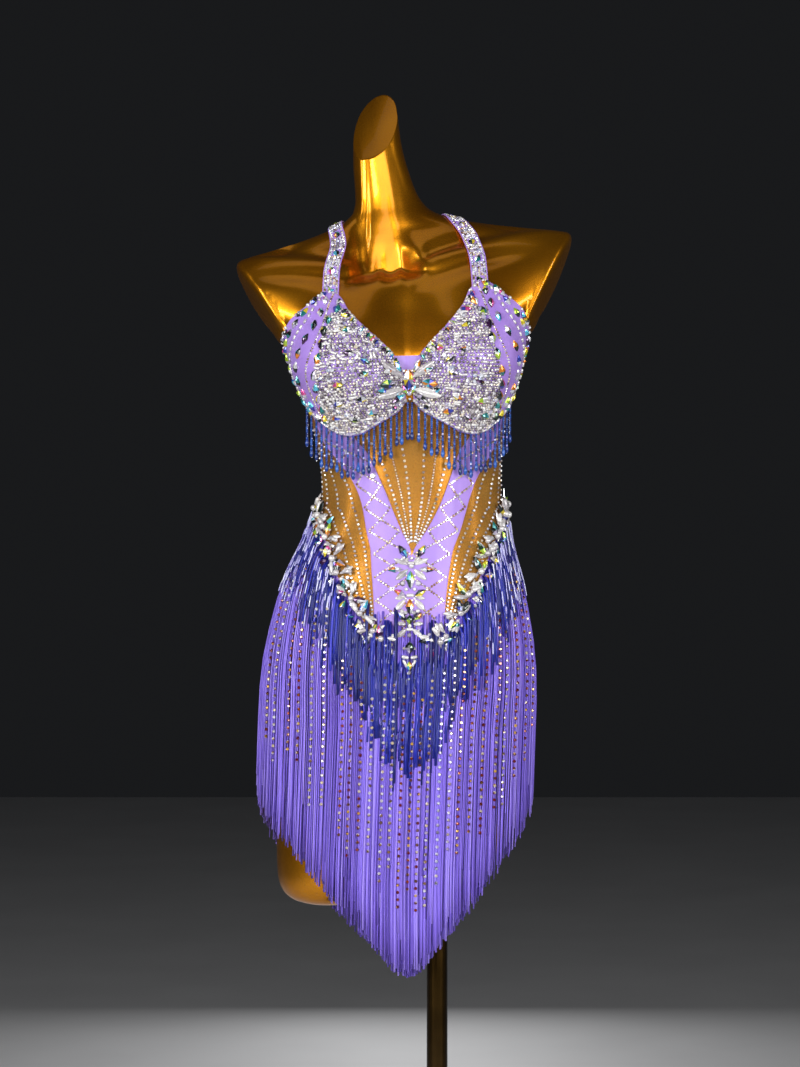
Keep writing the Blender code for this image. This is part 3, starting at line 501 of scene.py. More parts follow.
# The chainette's darkest colours are painted shade, taken by the skirt's under layers in the shadow between
# the other strands
CHAINETTE = fringe_finish(
    "lavender_chainette", (0.024, 0.013, 0.13), (0.135, 0.078, 0.50), (0.245, 0.155, 0.80),
    (0.43, 0.32, 0.95),
)
BLUE_CORD = fringe_finish(
    "blue_cord", (0.002, 0.004, 0.078), (0.004, 0.010, 0.21), (0.013, 0.022, 0.40), (0.060, 0.064, 0.64)
)
ROYAL = bead_finish("royal_bead", 0.06, (0.003, 0.012, 0.085), (0.009, 0.045, 0.26), (0.028, 0.13, 0.52))
NAVY = bead_finish("navy_bugle", 0.04, (0.010, 0.012, 0.10), (0.03, 0.03, 0.30), (0.12, 0.10, 0.62))
ICE = bead_finish("ice_bugle", 0.04, (0.16, 0.12, 0.50), (0.42, 0.40, 0.82), (0.80, 0.82, 1.0))


# ---------------- making and placing


def mode(name):
    bpy.ops.object.mode_set(mode=name)


def alone(operator, **settings):
    """Adds one primitive with nothing else selected, and returns it."""
    bpy.ops.object.select_all(action="DESELECT")
    operator(**settings)
    return bpy.context.object


def chosen(obj):
    """Leaves only this object selected, and active."""
    bpy.ops.object.select_all(action="DESELECT")
    obj.select_set(True)
    bpy.context.view_layer.objects.active = obj


def linked(name, data):
    """Puts data into the scene as an object."""
    obj = bpy.data.objects.new(name, data)
    bpy.context.scene.collection.objects.link(obj)
    return obj


def apply_modifier(obj, kind, **settings):
    modifier = obj.modifiers.new(kind.lower(), kind)
    for name, value in settings.items():
        setattr(modifier, name, value)
    bpy.context.view_layer.objects.active = obj
    bpy.ops.object.modifier_apply(modifier=modifier.name)


def finished(obj, name, look, replaces=()):
    """Names a piece, gives it its finish, and lets it stand for solids of the frame."""
    material, slot = look
    obj.name = obj.data.name = name
    obj.data.materials.clear()
    obj.data.materials.append(material)
    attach(obj, "root")
    if replaces:
        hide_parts(*replaces)
    return obj


def select_where(obj, kind, wanted):
    """Leaves the object in edit mode with only the wanted faces or corners selected."""
    mode("EDIT")
    bpy.ops.mesh.select_mode(type=kind)
    bpy.ops.mesh.select_all(action="DESELECT")
    mode("OBJECT")
    for item in obj.data.polygons if kind == "FACE" else obj.data.vertices:
        item.select = wanted(item)
    mode("EDIT")


def grow_face(step, scale, centre):
    """Extrudes the selected face by a step and scales what it grew, about its new centre."""
    bpy.ops.mesh.extrude_region_move(TRANSFORM_OT_translate={"value": step})
    bpy.ops.transform.resize(value=(scale,) * 3, center_override=Vector(centre) + Vector(step))
    return Vector(centre) + Vector(step)


def grid(columns, rows):
    """A flat grid from 0 to 1 both ways, to be placed point by point."""
    obj = alone(bpy.ops.mesh.primitive_grid_add, x_subdivisions=columns, y_subdivisions=rows, size=1)
    for vert in obj.data.vertices:
        vert.co.x += 0.5
        vert.co.y += 0.5
    return obj


def length_of(points):
    return sum((b - a).length for a, b in zip(points, points[1:]))


def cloth_panel(node, columns, rows, place, look=SATIN, wall=CLOTH):
    """A panel of cloth for a node: a grid whose point (s, t) place puts on the figure, with a wall."""
    obj = grid(columns, rows)
    mesh = obj.data
    flat = [(vert.co.x, vert.co.y) for vert in mesh.vertices]
    for vert, (s, t) in zip(mesh.vertices, flat):
        vert.co = posed(place(s, t))
    points = [vert.co.copy() for vert in mesh.vertices]
    across = columns + 1
    width = max(length_of(points[row * across:(row + 1) * across]) for row in (0, rows // 2, rows))
    length = length_of(points[columns // 2::across])
    for loop, uv in zip(mesh.loops, mesh.uv_layers[0].data):
        s, t = flat[loop.vertex_index]
        uv.uv = (s * width, t * length)
    area = sum(face.area for face in mesh.polygons)
    apply_modifier(obj, "SOLIDIFY", thickness=wall * MM, offset=1)
    bpy.ops.object.shade_smooth_by_angle(angle=radians(50))
    finished(obj, f"{node}_cloth", look, [node])
    if wall > CLOTH:
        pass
    else:
        length = max(length, area / width)


def numbers(items, key, kind=np.int32, width=1):
    """One property of all of a mesh's items, as an array."""
    found = np.empty(len(items) * width, kind)
    items.foreach_get(key, found)
    return found


class Model:
    """A small shape about one unit across, which is modelled once and copied many times."""

    def __init__(self, obj, smooth=False, patches=1):
        mesh = obj.data
        self.points = numbers(mesh.vertices, "co", float, 3).reshape(-1, 3)
        self.corners = numbers(mesh.loops, "vertex_index")
        self.starts = numbers(mesh.polygons, "loop_start")
        turns = [atan2(face.center.y, face.center.x) / tau % 1 for face in mesh.polygons]
        self.patch = np.array([int(turn * patches) for turn in turns])
        self.smooth, self.patches = smooth, patches
        bpy.data.objects.remove(obj)


def joined_mesh(name, points, corners, starts, smooth, tint):
    """One object from arrays of points, face corners and face starts, with a tint for each face."""
    mesh = bpy.data.meshes.new(name)
    mesh.vertices.add(len(points))
    mesh.vertices.foreach_set("co", points.ravel())
    mesh.loops.add(len(corners))
    mesh.loops.foreach_set("vertex_index", corners)
    mesh.polygons.add(len(starts))
    mesh.polygons.foreach_set("loop_start", starts)
    mesh.update(calc_edges=True)
    mesh.polygons.foreach_set("use_smooth", np.full(len(starts), smooth))
    mesh.attributes.new("tint", "FLOAT", "FACE").data.foreach_set("value", tint)
    return linked(name, mesh)


def copies(name, model, look, frames, replaces=()):
    """Copies of a model, one at each frame, with a tint for each patch of facets of each copy."""
    frames = np.array(frames)
    count, size = len(frames), len(model.points)
    points = np.einsum("mij,nj->mni", frames[:, :3, :3], model.points) + frames[:, None, :3, 3]
    step = np.arange(count, dtype=np.int32)[:, None]
    corners = (model.corners[None] + size * step).ravel()
    starts = (model.starts[None] + len(model.corners) * step).ravel()
    tint = rng.random((count, model.patches))[:, model.patch].ravel().astype(np.float32)
    obj = joined_mesh(name, points.reshape(-1, 3), corners, starts, model.smooth, tint)
    finished(obj, name, look, replaces)


def framed(axes, size, place):
    """A 4 by 4 frame from three axes, a size in millimetres (or one along each), and a place."""
    found = np.eye(4)
    found[:3, :3] = np.array(axes) * np.array(size) * MM
    found[:3, 3] = place
    return found


def on_surface(surface, u, v, out=0.0, turn=0.0, size=1, step=(0.5, 1.0)):
    """A frame that sets a model down on a surface: X along it, Y up it and Z straight out."""
    here = posed(surface(u, v, out))
    right = posed(surface(u + step[0], v, out)) - posed(surface(u - step[0], v, out))
    normal = right.cross(posed(surface(u, v + step[1], out)) - here).normalized()
    right.normalize()
    axes = Matrix((right, normal.cross(right), normal)).transposed() @ Matrix.Rotation(turn, 3, "Z")
    return framed(axes, size, here)


def spin():
    """A random turn for a round stone, in radians."""
    return rng.uniform(0, 6)


def around(angle, height, across):
    """The angle that lies across millimetres round the figure from another."""
    return angle + degrees(across / figure_radius(angle, height))


def cord(name, points, radius, cyclic=False):
    """A round satin cord or binding along points in metres."""
    curve = bpy.data.curves.new(name, "CURVE")
    curve.dimensions = "3D"
    curve.bevel_depth, curve.bevel_resolution, curve.use_fill_caps = radius * MM, 2, True
    spline = curve.splines.new("POLY")
    spline.points.add(len(points) - 1)
    spline.points.foreach_set("co", np.hstack([np.array(points), np.ones((len(points), 1))]).ravel())
    spline.use_cyclic_u = cyclic
    obj = linked(name, curve)
    chosen(obj)
    bpy.ops.object.convert(target="MESH")
    bpy.ops.object.shade_smooth()
    finished(obj, name, SATIN)


# ---------------- models of stones and beads

POINTED = 0.58  # how wide a pointed stone is for its length


def gem(corners, girdle, table, height, patches, pointed=0.0):
    """A cut stone one unit across: a flat back, a girdle, a sloping crown and a flat table."""
    obj = alone(
        bpy.ops.mesh.primitive_cone_add, vertices=corners, radius1=0.5, radius2=girdle, depth=height * 0.45
    )
    select_where(obj, "FACE", lambda face: face.normal.z > 0.9)
    grow_face((0, 0, height * 0.55), table / girdle, (0, 0, height * 0.225))
    mode("OBJECT")
    if pointed:
        select_where(obj, "FACE", lambda face: face.normal.z > 0.9)
        bpy.ops.mesh.poke(offset=height * 0.16)
        mode("OBJECT")
    for vert in obj.data.vertices:
        vert.co.z += height * 0.225
        if pointed:
            reach = min(abs(vert.co.x) * 2, 1)
            vert.co.y *= pointed * (1 - 0.75 * reach * reach)
    return Model(obj, patches=patches)


def ball(segments=8, rings=6):
    """A ball one unit across."""
    return alone(bpy.ops.mesh.primitive_uv_sphere_add, segments=segments, ring_count=rings, radius=0.5)


def drop_bead():
    """A pointed drop one unit tall, widest below its middle."""
    obj = ball(8, 8)
    for vert in obj.data.vertices:
        low = 0.5 - vert.co.z
        vert.co.x *= 0.62 + 0.5 * low
        vert.co.y *= 0.62 + 0.5 * low
        vert.co.z -= 0.22 * max(0.0, low - 0.75) / 0.25
    return Model(obj, smooth=True)


def petal_model():
    """A satin-pearl petal from its root along X: wider towards its tip, with a ridge down it."""
    obj = ball(12, 10)
    for vert in obj.data.vertices:
        x, y, z = vert.co
        wide = 0.56 * (1 + 0.45 * x) * (1 - 0.55 * (2 * x) ** 2)
        ridge = 0.13 * exp(-((y / 0.12) ** 2)) if z > 0 else 0
        vert.co = (x + 0.5, y * wide, z * 0.30 + 0.08 + ridge * (1 - (2 * x) ** 2))
    return Model(obj, smooth=True)


def tube_model(corners, rounded):
    """A tube bead one unit long on Y, with softened ends."""
    obj = alone(
        bpy.ops.mesh.primitive_cylinder_add, vertices=corners, radius=0.5, depth=1 - 2 * rounded,
        rotation=(pi / 2, 0, 0),
    )
    bpy.ops.object.transform_apply(location=False, rotation=True, scale=False)
    for end in (-1, 1):
        select_where(obj, "FACE", lambda face: face.normal.y * end > 0.9)
        grow_face((0, end * rounded, 0), 0.6, (0, end * (0.5 - rounded), 0))
        mode("OBJECT")
    return Model(obj, smooth=True)


CHATON = gem(8, 0.44, 0.27, 0.42, 3)
MARQUISE = gem(8, 0.42, 0.24, 0.36, 4, POINTED)
JEWEL = gem(10, 0.42, 0.06, 0.34, 10, POINTED)
PEARL_BALL, SEED = Model(ball(), smooth=True), Model(ball(6, 4), smooth=True)
DROP, PETAL = drop_bead(), petal_model()
BUGLE, BAR = tube_model(6, 0.05), tube_model(8, 0.12)

# What each kind of sewn-on stone is modelled as, and its finish
KINDS = {
    "stones": (CHATON, CRYSTAL), "glints": (CHATON, CHAMPAGNE), "rainbow": (MARQUISE, AURORA),
    "seeds": (SEED, SILVER), "pearls": (PEARL_BALL, PEARL), "bars": (BAR, PEARL),
    "petals": (PETAL, PEARL), "marquises": (MARQUISE, AURORA), "jewels": (JEWEL, AURORA),
    "amber": (CHATON, SUNSET), "champagne": (CHATON, CHAMPAGNE), "clear": (CHATON, CRYSTAL),
}


class Stones:
    """Collects the places of sewn-on stones by kind, and makes each kind as one piece."""

    def __init__(self, *kinds):
        self.places = {kind: [] for kind in kinds}

    def make(self, name, replaces=()):
        for kind, places in self.places.items():
            if places:
                copies(name.format(kind), *KINDS[kind], places, replaces)
                replaces = ()


# ---------------- the form and its stand


def dip(distance, width):
    """A soft bell-shaped hollow, 1 deep in its middle."""
    return exp(-((distance / width) ** 2))


HOLLOW_FOOT, HOLLOW_TALL = 1364, 150  # where the tendons rise and how far up they run
HOLLOW_ANGLE, HOLLOW_LOWEST = 85, 1215  # the form is hollowed only ahead of and above these
BREASTBONE_HEIGHT = 1304
BESIDE_AT = -54  # a second hollow, beside the right tendon


def throat_hollow(across, height):
    """How deep the throat is hollowed: a flat valley between two raised tendons."""
    right, left = TENDON_RIGHT(height), TENDON_LEFT(height)
    heads = 4.5 * sum(dip(across - head, 6) for head in TENDON_HEADS) * dip(height - 1366, 20)
    beside = (across - (right - 1 + left) / 2) / ((left - right + 1) / 2 + 9)
    valley = HOLLOW(height - heads) * exp(-(beside**4))
    fade = sin(pi * clamped((height - HOLLOW_FOOT) / HOLLOW_TALL)) ** 0.5
    groove = dip(across - right - 6, 3.5) * 0.9
    valley += HOLLOW_BESIDE(height) * dip(across - BESIDE_AT, 9)
    return valley + fade * (groove - 2.0 * dip(across - right, 4.5) - 1.2 * dip(across - left, 5))


def bare_form_point(angle, height):
    """The form's own surface, hollowed round the collar bones, the throat and between the breasts."""
    if from_front(angle) > HOLLOW_ANGLE or height < HOLLOW_LOWEST:
        return figure_point(angle, height, -FORM_IN)
    x = skin(angle, height).x
    across = x + SHIFT(height) + 3
    from_notch = abs(across + NOTCH_ASIDE)
    beyond_bone = height - BONE_HEIGHT(from_notch)
    fade = clamped((from_notch - 24) / 22) * clamped((185 - from_notch) / 60)
    bones = fade * (6.0 * dip(beyond_bone - 16, 9) + 4.5 * dip(beyond_bone + 17, 12))
    breastbone = 7.0 * dip(x - 2, 26) * dip(height - BREASTBONE_HEIGHT, 44)
    found = figure_point(angle, height, -FORM_IN - bones - breastbone)
    return found + Vector((0, throat_hollow(across, height), 0))


def closed_tube(segments, heights, point_at):
    """A tube of rings with both its ends closed, in millimetres."""
    obj = grid(segments, len(heights) - 1)
    for vert in obj.data.vertices:
        vert.co = point_at(360 * vert.co.x, heights[round(vert.co.y * (len(heights) - 1))])
    mode("EDIT")
    bpy.ops.mesh.select_all(action="SELECT")
    bpy.ops.mesh.remove_doubles(threshold=0.01)
    bpy.ops.mesh.fill_holes(sides=0)
    bpy.ops.mesh.normals_make_consistent(inside=False)
    mode("OBJECT")
    return obj


def cut_off(obj, point, normal, above, rim):
    """Cuts the form with a plane above a height and closes the cut with a face that domes out by rim."""
    normal = Vector(normal).normalized()
    point = Vector(point) - normal * sum(step for step, _ in rim)
    select_where(obj, "VERT", lambda vert: vert.co.z > above)
    bpy.ops.mesh.bisect(plane_co=point, plane_no=normal, clear_outer=True)
    bpy.ops.mesh.select_all(action="SELECT")
    bpy.ops.mesh.fill_holes(sides=0)
    mode("OBJECT")
    facing = [face for face in obj.data.polygons if face.normal.dot(normal) > 0.9]
    cap = max(facing, key=lambda face: len(face.vertices))
    centre, index = cap.center.copy(), cap.index
    select_where(obj, "FACE", lambda face: face.index == index)
    for step, scale in rim:
        centre = grow_face(normal * step, scale, centre)
    mode("OBJECT")


def trunk():
    """The form from the hips to the neck, with its shoulders and neck cut off."""
    low, high = CENTRE.at[0], CENTRE.at[-1]
    heights = [low, low + 3, low + 7, low + 13, *np.arange(low + 20, 1335, 7), *np.arange(1335, 1349, 3.5)]
    heights += [*np.arange(1349, 1371, 1.8), *np.arange(1371, 1440, 3.5), *np.arange(1440, high, 7), high]
    found = closed_tube(176, heights, bare_form_point)
    shoulder_rim = ((2.6, 0.985), (2.2, 0.96), (1.5, 0.94), (0.9, 0.90), (0.5, 0.80))
    across, up = SHOULDER_TIP[0] - ARMPIT[0], SHOULDER_TIP[1] - ARMPIT[1]
    for _, side in SIDES:
        tip = (side * (SHOULDER_TIP[0] + SHOULDER_PROUD), 0, SHOULDER_TIP[1])
        cut_off(found, tip, (side * up, -SHOULDER_CUT_AHEAD, -across), ARMPIT[1] - 3, shoulder_rim)
    neck = (0, CENTRE(NECK_CUT_HEIGHT), NECK_CUT_HEIGHT)
    rise = (-NECK_CUT_RISE_LEFT, -NECK_CUT_RISE_BACK, 1)
    cut_off(found, neck, rise, NECK_CUT_HEIGHT - 90, ((0.6, 0.985), (0.3, 0.96)))
    return found


def thigh(side):
    """One of the form's stubs."""
    foot, head = THIGH_HALF_WIDTH.at[0], THIGH_HALF_WIDTH.at[-1]
    levels = [foot, foot + 1, foot + 3, foot + 6, foot + 11, foot + 18, *range(foot + 26, head, 9), head]

    def place(angle, height):
        turn = radians(angle)
        x = side * THIGH_APART + THIGH_HALF_WIDTH(height) * sin(turn)
        if side > 0:
            x -= DRAWN_IN(height) * max(sin(turn), 0)
        return Vector((x, THIGH_BACK - THIGH_HALF_DEPTH(height) * cos(turn), height))

    return closed_tube(56, levels, place)


def make_form():
    parts = [trunk(), *(thigh(side) for _, side in SIDES)]
    form, *thighs = parts
    for part in parts:
        for vert in part.data.vertices:
            vert.co = posed(vert.co)
    top, depth = THIGH_HALF_WIDTH.at[0] + POLE_SOCKET, POLE_SOCKET + 30
    for part in thighs:
        apply_modifier(form, "BOOLEAN", operation="UNION", object=part)
        bpy.data.objects.remove(part)
    socket = alone(
        bpy.ops.mesh.primitive_cylinder_add, vertices=32, radius=(POLE_RADIUS + 0.5) * MM,
        depth=depth * MM, location=Vector((POLE_X, POLE_Y, top - depth / 2)) * MM,
    )
    apply_modifier(form, "BOOLEAN", operation="DIFFERENCE", object=socket)
    bpy.data.objects.remove(socket)
    chosen(form)
    bpy.ops.object.shade_smooth_by_angle(angle=radians(35))
    finished(form, "lacquered_form", LACQUER, ["form"])


SCREW_AHEAD, SCREW_HEIGHT = 26, 28  # where the collar's screw stands, off the pole's axis


def make_stand():
    for name in ("pole", "pole_collar", "base_plate"):
        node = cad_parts[name]
        node.data.materials.clear()
        node.data.materials.append(BRASS.material)
    screw = alone(
        bpy.ops.mesh.primitive_cylinder_add, vertices=24, radius=4 * MM, depth=6 * MM,
        location=Vector((POLE_X, POLE_Y - SCREW_AHEAD, SCREW_HEIGHT)) * MM, rotation=(radians(90), 0, 0),
    )
    bpy.ops.object.transform_apply(location=True, rotation=True, scale=True)
    select_where(screw, "FACE", lambda face: face.normal.y < -0.9)
    bpy.ops.mesh.inset(thickness=1.6 * MM)
    bpy.ops.mesh.extrude_region_move(TRANSFORM_OT_translate={"value": (0, 2.5 * MM, 0)})
    mode("OBJECT")
    apply_modifier(screw, "BEVEL", width=0.5 * MM, segments=2, limit_method="ANGLE")
    bpy.ops.object.shade_smooth_by_angle(angle=radians(40))
    finished(screw, "collar_screw", BRASS)


# ---------------- bodice, brief and bra


def between_seams(low, high, left_at, right_at):
    """Places a panel between two seams that run up the figure."""

    def place(s, t):
        height = low + (high - low) * t
        return figure_point(left_at(height) + (right_at(height) - left_at(height)) * s, height, CLOTH_OUT)

    return place


def between_edges(start, end, low_at, high_at):
    """Places a panel between two edges that run round the figure."""

    def place(s, t):
        angle = start + (end - start) * s
        low, high = low_at(angle), high_at(angle)
        return figure_point(angle, low + (high - low) * t, CLOTH_OUT)

    return place


def level(height):
    """An edge that runs round the figure at one height."""
    return lambda angle: height


# Radii of the bound seams and edges
SEAM_CORD, LEG_CORD, CUP_CORD, STRAP_CORD, BAND_CORD = 0.55, 1.1, 1.7, 0.9, 0.8
HOOK_SIZE, HOOK_PAIRS, HOOK_STEP = (1.6, 4.2, 1.2), 4, 9.6


def seam_cord(name, angle_at, low, high):
    """A narrow bound seam that runs up the figure."""
    line = [posed(figure_point(angle_at(z), z, ON_CLOTH)) for z in np.linspace(low, high, 60)]
    cord(name, line, SEAM_CORD)


def make_bodice_side(name, side):
    inner = lambda z: side * V_EDGE(z)
    outer = lambda z: side * STRIP_EDGE(z)
    hip = lambda z: side * hip_angle(z)
    strip, mesh = (inner, outer)[::side], (outer, hip)[::side]
    cloth_panel(f"bodice_strip_{name}", 20, 68, between_seams(BODICE_FOOT, BODICE_TOP, *strip))
    place = between_seams(SIDE_MESH_FOOT, BODICE_TOP, *mesh)
    cloth_panel(f"bodice_mesh_side_{name}", 24, 66, place, MESH)
    seam_cord(f"v_seam_{name}", inner, V_POINT, BODICE_TOP)
    seam_cord(f"strip_seam_{name}", outer, BODICE_FOOT, BODICE_TOP)


def make_bodice():
    gap = 0.1
    v_place = between_seams(V_POINT, BODICE_TOP, lambda z: gap - V_EDGE(z), lambda z: V_EDGE(z) - gap)
    cloth_panel("bodice_mesh_front", 28, 44, v_place, MESH)
    for name, side in SIDES:
        make_bodice_side(name, side)
    back_place = between_edges(90 + gap, 270 - gap, hip_height, level(BODICE_TOP))
    cloth_panel("bodice_mesh_back", 60, 32, back_place, MESH)


def gusset_point(s, t):
    sweep = pi * t
    y = GUSSET_FRONT + (GUSSET_BACK - GUSSET_FRONT) * (1 - cos(sweep)) / 2
    return Vector(((0.5 - s) * 2 * GUSSET_HALF, y, CROTCH - GUSSET_DROP * sin(sweep) ** 0.7))


def make_brief():
    for name, start in (("brief_front", -90), ("brief_back", 90)):
        place = between_edges(start + 0.1, start + 179.9, leg_height, lambda angle: hip_height(angle) - 0.3)
        cloth_panel(name, 72, 28, place)
    cloth_panel("brief_gusset", 6, 30, gusset_point)
    for name, side in SIDES:
        angles = np.linspace(12, 168, 90)
        leg = [posed(figure_point(side * angle, leg_height(angle) + 1, ON_CLOTH)) for angle in angles]
        cord(f"leg_binding_{name}", leg, LEG_CORD)


def cup_edge(side, height_at):
    """Points along a cup's lower or upper edge, from the centre front."""
    angles = [CUP_INNER + (CUP_OUTER - CUP_INNER) * i / 60 for i in range(61)]
    return [posed(cup_point(side * angle, height_at(angle), CUP_WALL * 0.5)) for angle in angles]


def make_cup_and_strap(name, side):

    def cup_place(s, t):
        angle = CUP_INNER + (CUP_OUTER - CUP_INNER) * (s if side > 0 else 1 - s)
        low, high = CUP_LOWER(angle), CUP_UPPER(angle)
        return cup_point(side * angle, low + (high - low) * t)

    cloth_panel(f"cup_{name}", 56, 40, cup_place, wall=CUP_WALL)
    rim = cup_edge(side, CUP_LOWER) + cup_edge(side, CUP_UPPER)[::-1]
    cord(f"cup_binding_{name}", rim, CUP_CORD, cyclic=True)
    cloth_panel(f"strap_{name}", 8, 76, lambda s, t: strap_point(s, t, side))
    for edge, s in (("inner", 0.03), ("outer", 0.97)):
        line = [posed(strap_point(s, i / 70, side, CLOTH)) for i in range(71)]
        cord(f"strap_edge_{edge}_{name}", line, STRAP_CORD)


def make_bra():
    for name, side in SIDES:
        make_cup_and_strap(name, side)
    bridge = between_edges(-BRIDGE_REACH, BRIDGE_REACH, level(BRIDGE_LOW), level(BRIDGE_HIGH))
    cloth_panel("bra_bridge", 16, 8, bridge)
    band = between_edges(BAND_START, 360 - BAND_START, level(BAND_LOW), level(BAND_HIGH))
    cloth_panel("bra_band", 90, 10, band)
    for edge, height in (("low", BAND_LOW + 1.5), ("high", BAND_HIGH - 1.5)):
        angles = np.linspace(CUP_OUTER + 1, 359 - CUP_OUTER, 90)
        line = [posed(figure_point(angle, height, ON_CLOTH)) for angle in angles]
        cord(f"band_edge_{edge}", line, BAND_CORD)


def make_band_clasp():
    """Four pairs of hooks at the centre back of the band."""
    hooks = []
    for i in range(HOOK_PAIRS):
        height = BAND_LOW + 6 + HOOK_STEP * i
        for angle in (177.8, 182.2):
            hooks.append(on_surface(figure_point, angle, height, ON_CLOTH + 0.6, pi / 2, HOOK_SIZE))
    copies("band_hooks", BAR, BRASS, hooks)


# ---------------- fringe


def hanging_point(angle, top, height, out):
    """Where a strand lies: over the hips down to their widest place, then straight down."""
    found = figure_point(angle, max(height, WIDEST_HIP), out)
    if height > WIDEST_HIP:
        above = figure_point(angle, min(top, height + 25), out)
        if above.xy.length > found.xy.length:
            found.xy = above.xy
    found.z = height
    return found


def hem_height(angle):
    """The height of the skirt's hem, which is the same from the front and the back to the sides."""
    turned = from_front(angle - HEM_TURN * max(cos(radians(angle)), 0))
    return HEM_HEIGHT(min(turned, 180 - turned))


def unit(vectors):
    return vectors / np.linalg.norm(vectors, axis=-1, keepdims=True)


def strands(name, lines, widths, thickness, tints, look, replaces=()):
    """Four-sided strands along lines of equal numbers of points, in metres, as one joined mesh."""
    paths = np.array(lines)
    count, rings = paths.shape[:2]
    normals = paths[:, rings // 2] - np.array([0.0, 0.004, 0.0])
    normals[:, 2] = 0
    normals = unit(normals)[:, None, :]
    along = unit(np.gradient(paths, axis=1))
    across = unit(np.cross(along, np.broadcast_to(normals, along.shape)))
    across *= np.array(widths)[:, None, None] * MM / 2
    out = np.broadcast_to(normals, along.shape) * thickness * MM / 2
    ring = np.stack([across, out, -across, -out], axis=2)
    points = (paths[:, :, None, :] + ring).reshape(-1, 3)
    quads = []
    for i in range(rings - 1):
        for j in range(4):
            a, b = 4 * i + j, 4 * i + (j + 1) % 4
            quads.append((a, a + 4, b + 4, b))
    quads += [(0, 1, 2, 3), tuple(4 * (rings - 1) + j for j in (3, 2, 1, 0))]
    pattern = np.array(quads, np.int32)
    corners = (pattern.ravel()[None] + (np.arange(count, dtype=np.int32) * rings * 4)[:, None]).ravel()
    starts = np.arange(count * len(quads), dtype=np.int32) * 4
    tint = np.repeat(np.asarray(tints, np.float32), len(quads))
    finished(joined_mesh(name, points, corners, starts, True, tint), name, look, replaces)


def strand_line(angle, root, tip, out, rings=10):
    """A strand's line of points: it swings a little from side to side on its way down."""
    sway, phase = rng.uniform(0.2, 1.9), rng.uniform(0, 6.28)
    line = []
    for k in range(rings):
        t = k / (rings - 1)
        drift = degrees(sway * t * sin(phase + 3.5 * t) / 150)
        height = root + (tip - root) * t
        spread = out * min(1, 6 * t) + 0.8
        line.append(tuple(posed(hanging_point(angle + drift, root, height, ON_CLOTH + spread))))
    return line


def skirt_layer(name, start, end, count, out, width, shorten, shade, replaces=(), raised=0):
    """One layer of the skirt's fringe, from one angle to another, with a ragged hem."""
    lines, widths, tints = [], [], []
    for i in range(count):
        angle = start + (end - start) * (i + 0.5 + rng.uniform(-0.4, 0.4)) / count
        root = hip_height(angle) - HEADING_DROP * rng.uniform(0.2, 1.0) + raised * rng.random()
        tip = hem_height(angle) + rng.uniform(-7, 6) + shorten * rng.random() ** 3
        lines.append(strand_line(angle, root, tip, out + rng.uniform(-0.7, 0.7)))
        widths.append(width * rng.uniform(0.7, 1.25))
        # each strand's tint lies about the layer's shade, which paints the under layers dark as shade
        # between the strands
        tints.append(clamped(rng.normal(shade, 0.27)))
    strands(f"skirt_fringe_{name}", lines, widths, 1.4, tints, CHAINETTE, replaces)


def make_skirt():
    # Each layer's angles, strands, how far out, width, most that it is shortened, and shade, which is
    # painted shade: the under layers are painted dark for the shadow between the strands
    skirt_layer("front_under", -90.5, 90.5, 260, 1.4, 3.3, 0, 0.10, ["skirt_fringe_front"])
    skirt_layer("front_mid", -90.5, 90.5, 240, 3.2, 2.3, 22, 0.46)
    skirt_layer("front_over", -90.5, 90.5, 210, 5.0, 2.0, 70, 0.68)
    skirt_layer("front_centre", -25, 25, 46, 5.8, 2.3, 120, 0.6, raised=32)
    skirt_layer("back_under", 89.5, 270.5, 260, 1.4, 3.3, 0, 0.12, ["skirt_fringe_back"])
    skirt_layer("back_over", 89.5, 270.5, 260, 3.6, 2.3, 55, 0.6)


def make_blue_fringe():
    """Blue cords that hang from the hip line over the lavender, to a V of their own."""
    lines, widths, tints = [], [], []
    angle = -88.0
    while angle < 88:
        aside = abs(angle)
        if rng.random() > 0.04 + 0.5 * clamped((aside - 50) / 30):
            drop = rng.uniform(8, 46) * max(1 - aside / 60, 0.15)
            if 7 < aside < 27 and rng.random() < 0.5:
                drop = -rng.uniform(0, 34)
            root = hip_height(angle) - drop
            tip = BLUE_HEM_HEIGHT(aside) + rng.normal(4, 15) - 34 * rng.random() ** 8
            lines.append(strand_line(angle, root, min(tip, root - 30), 6.4 + rng.uniform(-0.5, 0.9), 7))
            widths.append(rng.uniform(2.5, 4.7))
            tints.append(clamped(rng.normal(0.30, 0.24)))
        angle = around(angle, hip_height(angle), rng.uniform(1.1, 1.8))
    strands("hip_blue_fringe", lines, widths, 1.3, tints, BLUE_CORD)


def hung_bead(angle, root, height, half, out, width):
    """A frame for a tube bead that hangs along a strand, half its length above and below a height."""
    here, there = (posed(hanging_point(angle, root, height + end, out)) for end in (half, -half))
    axes = (here - there).to_track_quat("Y", "Z").to_matrix()
    return framed(axes, (width, 2 * half, width), (here + there) / 2)


ICE_BUGLES, NAVY_BUGLES = 210, 120
FRONT_STRINGS, BACK_STRINGS = 26, 18
STRING_STEP, SEED_STEP = 8.4, 2.5  # from stone to stone on the skirt and the bust fringe
SEED_SIZE, DROP_SIZE, SPARK_SIZE = (3.6, 3.6, 2.9), (5.6, 5.6, 8.4), 2.6


